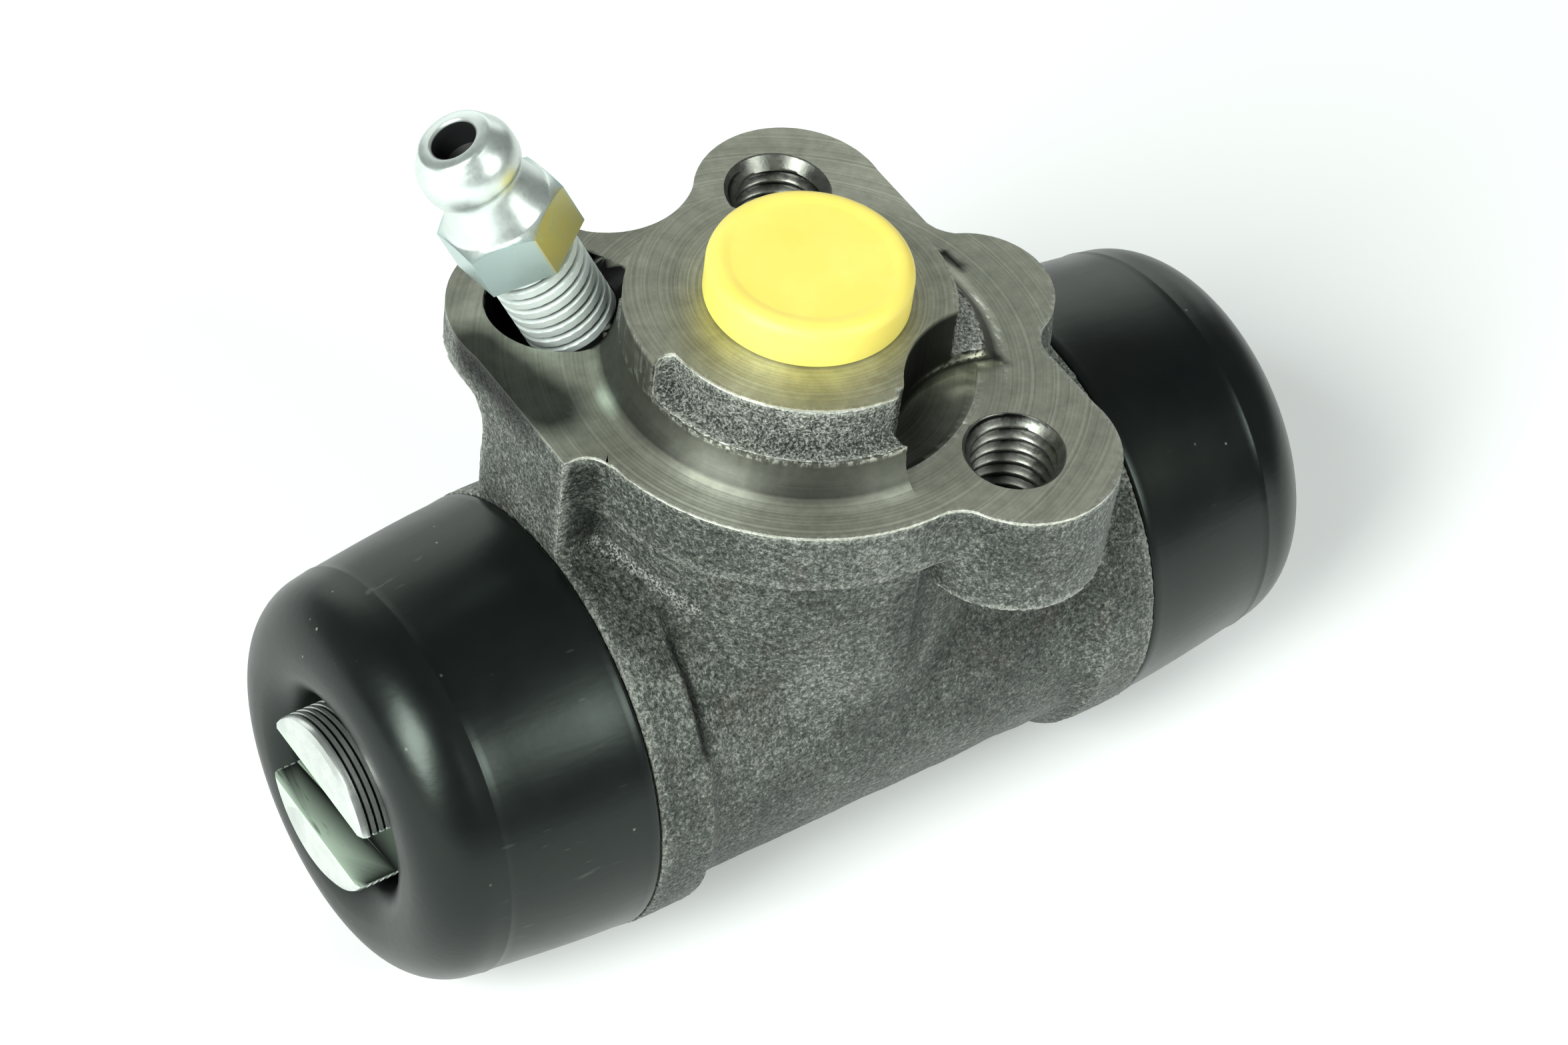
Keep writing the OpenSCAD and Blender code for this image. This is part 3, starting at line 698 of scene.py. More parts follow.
class Mould:
    """A mesh under construction, in millimetres."""

    def __init__(self, bm: bmesh.types.BMesh | None = None) -> None:
        """Starts from a mesh, or from nothing."""
        self.bm = bmesh.new() if bm is None else bm

    def spin(self, profile: Profile, steps: int, closed: bool = False) -> None:
        """Turns a profile about Z.

        Args:
            profile: Points as (height, radius).
            steps: How many steps make the turn.
            closed: Joins the last point to the first.
        """
        verts = [self.bm.verts.new((radius, 0.0, height)) for height, radius in profile]
        pairs = list(zip(verts, verts[1:])) + ([(verts[-1], verts[0])] if closed else [])
        edges = [self.bm.edges.new(pair) for pair in pairs]
        bmesh.ops.spin(self.bm, geom=verts + edges, cent=(0.0, 0.0, 0.0), axis=(0.0, 0.0, 1.0),
                       dvec=(0.0, 0.0, 0.0), angle=TURN, steps=steps, use_merge=True,
                       use_duplicate=False)
        self.clean()

    def clean(self) -> None:
        """Merges doubles and points the faces outward."""
        bmesh.ops.remove_doubles(self.bm, verts=self.bm.verts[:], dist=WELD)
        bmesh.ops.recalc_face_normals(self.bm, faces=self.bm.faces[:])

    def layer(self, name: str, numbers: Iterable[float]) -> None:
        """Stores a number on each point.

        Args:
            name: The attribute's name.
            numbers: One number for each point, in the points' order.
        """
        read = list(numbers)
        store = self.bm.verts.layers.float.new(name)
        for vert, number in zip(self.bm.verts, read):
            vert[store] = number

    def piece(self, name: str, material: bpy.types.Material, place: Matrix,
              sharp: float) -> bpy.types.Object:
        """Turns the mesh into an object at the origin.

        Args:
            name: The object's name.
            material: Its finish.
            place: Where the mesh goes, in millimetres.
            sharp: The angle in degrees past which an edge stays sharp.

        Returns:
            The object.
        """
        self.bm.transform(place)
        self.bm.transform(Matrix.Scale(MM, 4))
        mesh = settled(self.bm, name)
        mesh.materials.append(material)
        mesh.shade_smooth()
        mesh.set_sharp_from_angle(angle=math.radians(sharp))
        return placed(name, mesh)


def arc(cz: float, cr: float, radius: float, start: float, end: float, count: int) -> Profile:
    """Gives points on an arc of a profile.

    Args:
        cz: Height of its centre.
        cr: Radius of its centre from the axis.
        radius: The arc's radius.
        start: First angle in degrees, from the height's direction toward the radius's.
        end: Last angle.
        count: How many steps.

    Returns:
        The points as (height, radius).
    """
    angles = [math.radians(start + (end - start) * i / count) for i in range(count + 1)]
    return [(cz + radius * math.cos(a), cr + radius * math.sin(a)) for a in angles]


def steps_between(start: float, end: float, pitch: float) -> list[float]:
    """Gives even steps from start to end, no wider than pitch."""
    count = max(1, math.ceil(abs(end - start) / pitch))
    return [start + (end - start) * i / count for i in range(count + 1)]


def ridge(phase: float, flat: float) -> float:
    """Gives a thread's height, from 0 at the root to 1 at the crest, with a flat share at both."""
    wave = 1.0 - abs(2.0 * (phase % 1.0) - 1.0)
    return held((wave - flat) / (1.0 - 2.0 * flat))


def reach_of(vert: Vert) -> float:
    """Gives a point's distance from the Z axis."""
    return math.hypot(vert.co.x, vert.co.y)


def turn_of(vert: Vert) -> float:
    """Gives a point's angle about the Z axis, in turns."""
    return math.atan2(vert.co.y, vert.co.x) / TURN


def set_reach(vert: Vert, reach: float) -> None:
    """Moves a point straight out or in to a distance from the Z axis.

    Args:
        vert: The point.
        reach: The distance.
    """
    share = reach / reach_of(vert)
    vert.co.x *= share
    vert.co.y *= share


@dataclass(frozen=True)
class Fade:
    """A number that changes evenly along an axis, between two limits."""

    base: float
    slope: float
    low: float = 0.0
    high: float = 1.0

    def at(self, place: float) -> float:
        """Gives the number at a place."""
        return held(self.base + self.slope * place, self.low, self.high)


@dataclass(frozen=True)
class Stroke:
    """A soft line of painted shade or painted highlight on the casting, in millimetres."""

    start: tuple[float, float, float]
    end: tuple[float, float, float]
    reach: float
    strength: float
    fullness: float = 1.8

    def at(self, p: Vector) -> float:
        """Gives the stroke's strength at a point, full near the line and gone at its reach.

        Args:
            p: The point.

        Returns:
            The strength, from 0 to the stroke's own.
        """
        first, run = Vector(self.start), Vector(self.end) - Vector(self.start)
        share = held((p - first).dot(run) / run.length_squared)
        fall = 1.0 - (p - first - run * share).length / self.reach
        return self.strength * held(self.fullness * fall)


@dataclass
class CastBody:
    """The one-piece casting, with its turned face and tapped holes."""

    finishes: Finishes
    octree_scale: float = 0.50
    octree_depth: int = 8
    soft_passes: int = 2
    fillet_passes: int = 14
    convex_angle: float = math.radians(28.0)
    # How near a point counts as on a face, an edge or a bright line.
    touch: float = 0.06
    close: float = 0.04
    slack: float = 0.05
    rim: float = 0.1
    wall_touch: float = 0.08
    line_half: float = 0.16

    spigot_r: float = 10.85
    spigot_h: float = 5.3
    cove_depth: float = 0.6
    # Painted highlight line on the cove's edge beside the front scallop.
    cove_edge_r: float = 12.25
    cove_edge_span: tuple[float, float] = (-7.2, -0.5)
    cove_edge_half: float = 0.15
    cove_edge_top: float = 0.5
    cove_gleam: float = 0.85
    raw_step: float = 2.4
    raw_right_step: float = 1.2
    raw_front_r: float = 9.45
    raw_right_r: float = 8.9
    raw_back: tuple[float, float] = (-1.5, 9.5)
    raw_split: float = 0.02
    # Painted glints on the raw spigot skin above raw_from.
    raw_from: float = 0.3
    raw_gleam: float = 0.52

    scallops: tuple[tuple[float, float], ...] = ((-DATUM.hole_y, 7.1), (DATUM.hole_y, 8.0))
    scallop_foot: float = -0.7
    scallop_floor: float = -0.35
    floor_r: float = 10.65
    floor_end_x: float = 1.5
    # Painted shade of the front scallop's floor and wall, darker to the left.
    floor_gloom: Fade = Fade(0.46, -0.08, 0.30, 0.80)
    wall_gloom: Fade = Fade(0.70, -0.09, 0.45, 0.92)
    # Painted highlight: rings on the front scallop's wall, stronger to the right, and the rim between
    # cut and raw iron, stronger toward the front.
    tool_marks: tuple[float, ...] = (-0.30, 0.60)
    mark_half: float = 0.17
    mark_gleam: Fade = Fade(0.8, 0.2)
    rim_gleam: Fade = Fade(0.5, -0.125, 0.25, 0.84)

    # Painted shade strokes: the left lobe's pocket, the groove by the left collar, beside and below the
    # front boss, the notch behind the spigot, a lit facet of the cove and near the left collar; the
    # last is a darker patch on the face's left.
    shades: tuple[Stroke, ...] = (
        Stroke((-22.2, -0.8, -1.6), (-21.5, -0.9, -6.6), 1.5, 0.62),
        Stroke((-19.75, -7.6, -10.5), (-19.75, -12.5, -15.9), 0.65, 0.80),
        Stroke((-9.0, -14.3, -5.2), (-6.2, -14.9, -5.2), 1.0, 0.60),
        Stroke((5.8, 3.1, 0.0), (6.05, 1.6, 0.0), 0.45, 0.95),
        Stroke((2.2, -5.4, 0.35), (3.7, -6.1, 0.25), 0.50, 0.80),
        Stroke((-22.4, -2.3, -8.5), (-20.7, -7.95, -10.7), 1.7, 0.40),
        Stroke((-7.1, -13.4, -8.0), (-6.0, -13.2, -14.5), 2.0, 0.42),
        Stroke((-7.4, -13.4, -17.8), (-9.6, -13.2, -18.6), 1.7, 0.34),
        Stroke((-23.4, 9.5, 0.0), (-22.0, 3.6, 0.0), 3.0, 0.86))
    # Painted highlight strokes along the collar's upper ridge by the left lobe.
    gleams: tuple[Stroke, ...] = (
        Stroke((-20.9, -0.8, -7.9), (-20.0, -2.8, -8.1), 0.80, 0.82),
        Stroke((-20.0, -2.8, -8.1), (-19.2, -5.25, -8.45), 0.75, 0.80),
        Stroke((-19.2, -5.25, -8.45), (-18.15, -7.3, -9.1), 0.70, 0.80))

    collar_w: float = 3.7
    groove_gap: float = 0.25
    groove_z: float = -13.2
    groove_half_len: float = 4.0
    groove_half_w: float = 0.7
    groove_depth: float = 0.28
    grain_scale: float = 1.7
    grain_h: float = 0.035
    swell_scale: float = 0.33
    swell_shift: tuple[float, float, float] = (7.0, 3.0, 1.0)
    swell_h: float = 0.085
    edge_share: float = 0.2

    nose_r: float = 13.9
    bore_reach: float = 9.6
    bore_roof: float = 9.0
    port_r: float = 4.5
    port_lip: float = 0.4
    # Painted highlight lines on the front boss's lower rim and the left lobe's front edge.
    boss_r: float = 6.0
    boss_t: float = 7.7
    boss_x: float = 0.5
    boss_edge: float = 0.25
    boss_gleam: float = 0.6
    lobe_y: float = -0.6
    lobe_foot: float = -8.0
    lobe_gleam: float = 0.8

    bleed_mouth_r: float = 4.1
    mouth_blend_r: float = 5.3
    mouth_inside: float = 0.2
    mouth_heights: tuple[float, float] = (-4.0, 3.0)
    mouth_grow: float = 0.48
    mouth_gain: float = 1.5
    mouth_toward: tuple[float, float, float] = (4.3, 1.2, 0.0)
    mouth_spread: float = 0.35
    # Painted shade black in the bleed hole reaches the face's own level only right of mouth_dark_x.
    mouth_dark_x: float = -14.6
    mouth_lip: tuple[float, float] = (-0.02, 0.07)

    mouths: tuple[tuple[float, float], ...] = ((-DATUM.hole_y, 3.1), (DATUM.hole_y, 3.35))
    hole_depth: float = 6.0
    hole_top: float = -0.02
    hole_min_r: float = 2.3
    drill_tip: float = 1.0
    thread_pitch: float = 1.0
    thread_minor: float = 2.5
    thread_depth: float = 0.52
    thread_rows: int = 10
    thread_flat: float = 0.12
    chamfer_slope: float = 1.05
    chamfer_tone: float = 0.75
    sleeve_gap: float = 0.01
    sleeve_foot: float = 0.05
    sleeve_steps: int = 72

    def build(self) -> list[bpy.types.Object]:
        """Builds the casting and its threads."""
        return [self.casting()] + [self.thread(y, mouth) for y, mouth in self.mouths]

    def even_mesh(self) -> bmesh.types.BMesh:
        """Gives the body's solid as an even mesh in millimetres.

        Returns:
            The mesh.
        """
        bm = bmesh.new()
        bm.from_mesh(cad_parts["cylinder_body"].data)
        bm.transform(Matrix.Scale(1.0 / MM, 4))
        bmesh.ops.remove_doubles(bm, verts=bm.verts[:], dist=WELD)
        return shaped(bm, "REMESH", mode="SHARP", octree_depth=self.octree_depth,
                      scale=self.octree_scale, sharpness=1.0, use_remove_disconnected=False)

    def is_raw(self, p: Vector) -> bool:
        """Tells whether a point of the spigot was left as cast.

        Args:
            p: The point in millimetres.

        Returns:
            True for raw casting.
        """
        sx, r = p.x - DATUM.spigot_x, DATUM.from_spigot(p)
        in_scallop = any(math.hypot(p.x, p.y - y) < reach + self.slack for y, reach in self.scallops)
        if p.z > self.spigot_h - self.touch or r > self.spigot_r - self.close or in_scallop:
            return False
        if sx > self.raw_split:
            return p.z > self.raw_right_step - self.close and r > self.raw_right_r - self.touch
        if p.z < self.raw_step - self.close:
            return False
        if p.y < 0.0:
            return r > self.raw_front_r - self.touch
        back_x, back_r = self.raw_back
        return math.hypot(sx - back_x, p.y) > back_r - self.touch

    def is_machined(self, p: Vector) -> bool:
        """Tells whether a point of the body lies on a cut surface.

        Args:
            p: The point in millimetres.

        Returns:
            True for a cut surface.
        """
        if p.z > -self.touch:
            return not self.is_raw(p)
        from_bore, from_spigot = math.hypot(p.y, p.z - DATUM.bore_z), DATUM.from_spigot(p)
        at_end = abs(p.x - DATUM.middle_x) > DATUM.half_len - self.touch
        barrel_end = at_end and from_bore < self.nose_r
        port = from_spigot < self.port_r + self.rim
        cove = p.z > -self.cove_depth and from_spigot < self.spigot_r
        if barrel_end or from_bore < self.bore_reach or port or cove:
            return True
        if p.z > -self.hole_depth - self.drill_tip:
            if any(math.hypot(p.x, p.y - y) < mouth + self.rim for y, mouth in self.mouths):
                return True
        return DATUM.from_bleed(p) < self.bleed_mouth_r + self.rim

    def casting(self) -> bpy.types.Object:
        """Builds the casting from the body's solid, softened and grained where it is as cast.

        Returns:
            The casting.
        """
        mould = Mould(self.even_mesh())
        bm = mould.bm
        bm.verts.index_update()
        cut = [self.is_machined(v.co) for v in bm.verts]
        painted_gleam = [self.painted_gleam_at(v, cut) for v in bm.verts]
        painted_shade = [self.painted_shade_at(v.co) for v in bm.verts]
        for vert in bm.verts:
            self.open_hole(vert)
            self.open_mouth(vert)
        self.soften(bm, cut)
        bm.normal_update()
        self.roughen(bm, cut)
        bm.normal_update()
        mould.layer("machined", map(float, cut))
        mould.layer("painted_gleam", painted_gleam)
        mould.layer("hollow", self.hollows(bm))
        mould.layer("painted_shade", painted_shade)
        body = mould.piece("cast_body", self.finishes.iron, Matrix.Identity(4), sharp=40.0)
        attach(body, "cylinder")
        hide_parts("cylinder_body")
        return body

    def soften(self, bm: bmesh.types.BMesh, cut: list[bool]) -> None:
        """Rounds the raw casting: a little on its outer edges, more in its inner corners.

        Args:
            bm: The casting.
            cut: Which points are cut.
        """
        soft = [v for v in bm.verts if not cut[v.index]]
        convex = [e for e in bm.edges
                  if len(e.link_faces) == 2 and e.calc_face_angle_signed(0.0) > self.convex_angle]
        crest = {v for e in convex for v in e.verts}
        inner = [v for v in soft if v not in crest]
        for count, verts in ((self.soft_passes, soft), (self.fillet_passes, inner)):
            for _ in range(count):
                bmesh.ops.smooth_vert(bm, verts=verts, factor=0.5, use_axis_x=True, use_axis_y=True,
                                      use_axis_z=True)

    def roughen(self, bm: bmesh.types.BMesh, cut: list[bool]) -> None:
        """Gives the raw casting its uneven skin, which calms down beside a cut surface.

        Args:
            bm: The casting.
            cut: Which points are cut.
        """
        for vert in bm.verts:
            if not cut[vert.index]:
                beside_cut = any(cut[e.other_vert(vert).index] for e in vert.link_edges)
                share = self.edge_share if beside_cut else 1.0
                vert.co += vert.normal * self.roughcast(vert.co) * share

    @staticmethod
    def hollows(bm: bmesh.types.BMesh) -> list[float]:
        """Tells how hollow the skin is at each point: 0.5 is flat, more is a corner, less an edge.

        Args:
            bm: The casting.

        Returns:
            One number for each point.
        """
        passes, own_share, gain = 3, 0.4, 7.0
        near = [[e.other_vert(v).index for e in v.link_edges] for v in bm.verts]
        bend = []
        for vert in bm.verts:
            total = sum((e.other_vert(vert).co for e in vert.link_edges), Vector())
            bend.append((total / len(vert.link_edges) - vert.co).dot(vert.normal))
        for _ in range(passes):
            bend = [own_share * own + (1.0 - own_share) * sum(bend[i] for i in others) / len(others)
                    for own, others in zip(bend, near)]
        return [held(0.5 + gain * number) for number in bend]

    def painted_gleam_at(self, vert: Vert, cut: list[bool]) -> float:
        """Gives how much painted highlight a point carries: on rims, lines, ridges and the raw spigot
        skin.

        Args:
            vert: The point.
            cut: Which points are cut.

        Returns:
            From 0 to 1.
        """
        p = vert.co
        if cut[vert.index]:
            beside_raw = any(not cut[e.other_vert(vert).index] for e in vert.link_edges)
            rim = self.rim_gleam.at(p.y) if beside_raw and p.z > -self.wall_touch else 0.0
            return max(rim, self.tool_mark(p), self.step_gleam(p))
        if p.z > self.raw_from:
            return self.raw_gleam
        gleam = max(stroke.at(p) for stroke in self.gleams)
        if gleam > 0.0:
            return gleam
        around = math.hypot(p.x - self.boss_x, p.y + DATUM.hole_y)
        if abs(around - self.boss_r) < self.boss_edge and abs(p.z + self.boss_t) < self.line_half:
            return self.boss_gleam
        across, along = abs(p.x - DATUM.left_end), abs(p.y - self.lobe_y)
        on_lobe_edge = max(across, along) < self.line_half and p.z > self.lobe_foot
        return self.lobe_gleam if on_lobe_edge else 0.0

    def tool_mark(self, p: Vector) -> float:
        """Gives the painted highlight on the cutter's rings low on the front scallop's wall, stronger
        to the right.

        Args:
            p: The point.

        Returns:
            From 0 to 1.
        """
        y, reach = self.scallops[0]
        on_wall = abs(math.hypot(p.x, p.y - y) - reach) < self.wall_touch
        on_spigot = DATUM.from_spigot(p) < self.spigot_r - self.slack
        on_mark = any(abs(p.z - z) < self.mark_half for z in self.tool_marks)
        return self.mark_gleam.at(p.x) if on_wall and on_spigot and on_mark else 0.0

    def step_gleam(self, p: Vector) -> float:
        """Gives the painted highlight lines on the scallop floor's outer edge and at the cove's edge
        beside it.

        Args:
            p: The point.

        Returns:
            From 0 to 1.
        """
        out = DATUM.from_spigot(p)
        y, reach = self.scallops[0]
        on_floor_edge = abs(out - self.floor_r) < self.line_half and abs(p.z) < self.rim
        if on_floor_edge and math.hypot(p.x, p.y - y) < reach and p.x < self.floor_end_x:
            return 1.0
        low, high = self.cove_edge_span
        on_cove_edge = abs(out - self.cove_edge_r) < self.cove_edge_half and p.z < self.cove_edge_top
        return self.cove_gleam if on_cove_edge and low < p.y < high and p.x > 0.0 else 0.0

    def painted_shade_at(self, p: Vector) -> float:
        """Gives a point's painted shade: 1 inside the bleed hole and the port, less in corners and
        pockets, and a darker patch on the face's left.

        Args:
            p: The point.

        Returns:
            From 0 to 1.
        """
        # Painted shade black inside the bleed hole and the port.
        lip_z, lip_half = self.mouth_lip
        below_lip = abs(p.z - lip_z) > lip_half or p.x > self.mouth_dark_x
        bleed = below_lip and DATUM.from_bleed(p) < self.bleed_mouth_r + self.slack
        port = DATUM.from_spigot(p) < self.port_r + self.rim and p.z < self.spigot_h - self.port_lip
        if (bleed or port) and p.z > DATUM.bore_z + self.bore_roof:
            return 1.0
        return max([self.scallop_shade(p)] + [stroke.at(p) for stroke in self.shades])

    def scallop_shade(self, p: Vector) -> float:
        """Gives the painted shade of the front scallop's wall and floor, deepest on the left.

        Args:
            p: The point.

        Returns:
            From 0 to 1.
        """
        y, reach = self.scallops[0]
        in_height = self.scallop_foot < p.z < self.spigot_h - self.rim
        inside = in_height and math.hypot(p.x, p.y - y) < reach + self.rim
        if not inside or DATUM.from_spigot(p) > self.floor_r - self.line_half:
            return 0.0
        if p.z < self.scallop_floor:
            return self.floor_gloom.at(p.x)
        return self.wall_gloom.at(p.x) * (1.0 - self.tool_mark(p))

    def open_hole(self, vert: Vert) -> None:
        """Widens a mounting hole's wall to take its thread.

        Args:
            vert: A point of the casting.
        """
        for y, mouth in self.mouths:
            out = Vector((vert.co.x, vert.co.y - y, 0.0))
            inside = -self.hole_depth - self.slack < vert.co.z < self.hole_top
            if inside and self.hole_min_r < out.length < mouth:
                out *= mouth / out.length
                vert.co.x, vert.co.y = out.x, out.y + y

    def open_mouth(self, vert: Vert) -> None:
        """Widens the bleed hole's mouth toward the spigot and the back, at the point's own height.

        Args:
            vert: A point of the casting.
        """
        reach = DATUM.from_bleed(vert.co)
        low, high = self.mouth_heights
        near_wall = self.bleed_mouth_r - self.mouth_inside < reach < self.mouth_blend_r
        if not near_wall or not low < vert.co.z < high:
            return
        axis = DATUM.bleed().to_3x3() @ Vector((0.0, 0.0, 1.0))
        foot = Vector((*DATUM.bleed_foot, 0.0)) + axis * (vert.co.z / axis.z)
        out = (vert.co - foot).normalized()
        toward = out.dot(Vector(self.mouth_toward).normalized())
        share = max(0.0, toward - self.mouth_spread) / (1.0 - self.mouth_spread)
        fall = min(1.0, (self.mouth_blend_r - reach) / (self.mouth_blend_r - self.bleed_mouth_r))
        vert.co += out * self.mouth_grow * min(1.0, self.mouth_gain * share) * fall

    def roughcast(self, p: Vector) -> float:
        """Gives the casting's unevenness at a point.

        Args:
            p: The point.

        Returns:
            The height in millimetres.
        """
        grain = noise.noise(p * self.grain_scale) * self.grain_h
        swell = noise.noise(p * self.swell_scale + Vector(self.swell_shift)) * self.swell_h
        return grain + swell - self.collar_groove(p)

    def collar_groove(self, p: Vector) -> float:
        """Gives the depth of the dark groove beside the left collar, on the front of the barrel.

        Args:
            p: The point.

        Returns:
            The depth in millimetres.
        """
        across = (p.x - (DATUM.left_end + self.collar_w + self.groove_gap)) / self.groove_half_w
        along = (p.z - self.groove_z) / self.groove_half_len
        if p.y > 0.0 or abs(across) > 1.0 or abs(along) > 1.0:
            return 0.0
        return self.groove_depth * (1.0 - across ** 2) * (1.0 - along * along)

    def thread(self, y: float, mouth: float) -> bpy.types.Object:
        """Builds the thread of one mounting hole as a sleeve in its wall.

        Args:
            y: The hole's place.
            mouth: Radius of its chamfer.

        Returns:
            The thread.
        """
        mould = Mould()
        foot, top = -self.hole_depth + self.sleeve_foot, -self.sleeve_gap
        rows = steps_between(foot, top, self.thread_pitch / self.thread_rows)
        profile = [(z, self.thread_minor) for z in rows] + [(top, mouth), (foot, mouth)]
        mould.spin(profile, self.sleeve_steps, closed=True)
        mould.layer("crest", [self.cut_thread(vert, mouth) for vert in mould.bm.verts])
        name = "front_hole_thread" if y < 0 else "back_hole_thread"
        sleeve = mould.piece(name, self.finishes.tapped, Matrix.Translation((0.0, y, 0.0)), sharp=60.0)
        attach(sleeve, "cylinder")
        return sleeve

    def cut_thread(self, vert: Vert, mouth: float) -> float:
        """Moves a point of a sleeve's inside onto the thread or the chamfer.

        Args:
            vert: The point.
            mouth: Radius of the chamfer.

        Returns:
            The point's height on the thread, from 0 to 1, which sets its painted shade, or the
            chamfer's tone.
        """
        if reach_of(vert) > self.thread_minor + self.sleeve_gap:
            return 0.0
        height = ridge(vert.co.z / self.thread_pitch + turn_of(vert), self.thread_flat)
        wall = self.thread_minor + self.thread_depth * (1.0 - height)
        sink = (mouth - self.thread_minor) * self.chamfer_slope
        chamfer = self.thread_minor + max(0.0, vert.co.z + sink) / self.chamfer_slope
        set_reach(vert, min(max(wall, chamfer), mouth - self.sleeve_gap))
        return height if wall > chamfer else self.chamfer_tone


@dataclass
class DustBoot:
    """One rubber boot, from its bead in the barrel's groove to its lip on the piston."""

    finishes: Finishes
    side: Side
    start: float = 18.29
    length: float = 14.36
    rim_r: float = 14.1
    rim_band: float = 1.15
    rim_drop: float = 0.11
    shoulder_from: float = 10.2
    shoulder_r: float = 13.05
    seam_back: float = 0.35
    seam_h: float = 0.018
    crown_r: float = 4.2
    roll_r: float = 2.6
    hug_r: float = 5.74
    nose_r: float = 12.08
    bead_r: float = 10.98
    bead: tuple[float, float] = (1.68, 3.52)
    nose_end: float = 5.48
    wall: float = 1.7
    steps: int = 144

    def flank(self) -> Profile:
        """Gives the outside from the rim to the shoulder's seam.

        Returns:
            Points as (distance, radius).
        """
        base, rim = self.start, self.rim_r
        line = [(base, rim - 0.18), (base + 0.08, rim - 0.05), (base + 0.25, rim)]
        line += [(base + 0.25 + 0.9 * t, rim - self.rim_drop * t) for t in (0.5, 1.0)]
        for t in (0.15, 0.3, 0.45, 0.6, 0.75, 0.9):
            u = base + self.rim_band + (self.shoulder_from - self.rim_band) * t
            line.append((u, rim - self.rim_drop + (self.shoulder_r + 0.12 - rim) * t ** 1.25))
        seam_u = base + self.shoulder_from - self.seam_back
        seam_r = self.shoulder_r + 0.10
        seam = [(seam_u - 0.08, seam_r), (seam_u, seam_r + self.seam_h),
                (seam_u + 0.08, seam_r - 0.005)]
        return line + seam

    def profile(self) -> Profile:
        """Gives the boot's section as a closed loop.

        Returns:
            Points as (distance, radius).
        """
        base, hug = self.start, self.hug_r
        end = base + self.length
        ring_u, ring_r = end - self.crown_r, self.shoulder_r - self.crown_r
        roll_u = end - self.roll_r
        bead_from, bead_to = (base + u for u in self.bead)
        crown = arc(ring_u, ring_r, self.crown_r, 82.0, 4.0, 22)
        roll = arc(roll_u, ring_r - 0.25, self.roll_r, -6.0, -92.0, 16)
        throat = [(roll_u - 0.7, hug + 0.42), (roll_u - 1.3, hug + 0.06), (roll_u - 1.6, hug),
                  (ring_u - 1.4, hug), (ring_u - 1.6, hug + 0.5), (ring_u - 1.2, hug + 1.3)]
        inner = arc(ring_u - 0.4, ring_r + 0.2, self.crown_r - self.wall - 0.2, -60.0, 90.0, 12)
        nose = [(base + self.nose_end, inner[-1][1]), (base + self.nose_end, self.nose_r),
                (bead_to, self.nose_r), (bead_to, self.bead_r), (bead_from, self.bead_r),
                (bead_from, self.nose_r), (base, self.nose_r)]
        return self.flank() + crown + roll + throat + inner + nose

    def build(self) -> bpy.types.Object:
        """Builds the boot.

        Returns:
            The boot.
        """
        mould = Mould()
        mould.spin(self.profile(), self.steps, closed=True)
        word = self.side.word
        boot = mould.piece(f"{word}_dust_boot", self.finishes.boot, DATUM.bore(self.side), sharp=50.0)
        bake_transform(boot)
        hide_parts(f"{word}_boot")
        return boot


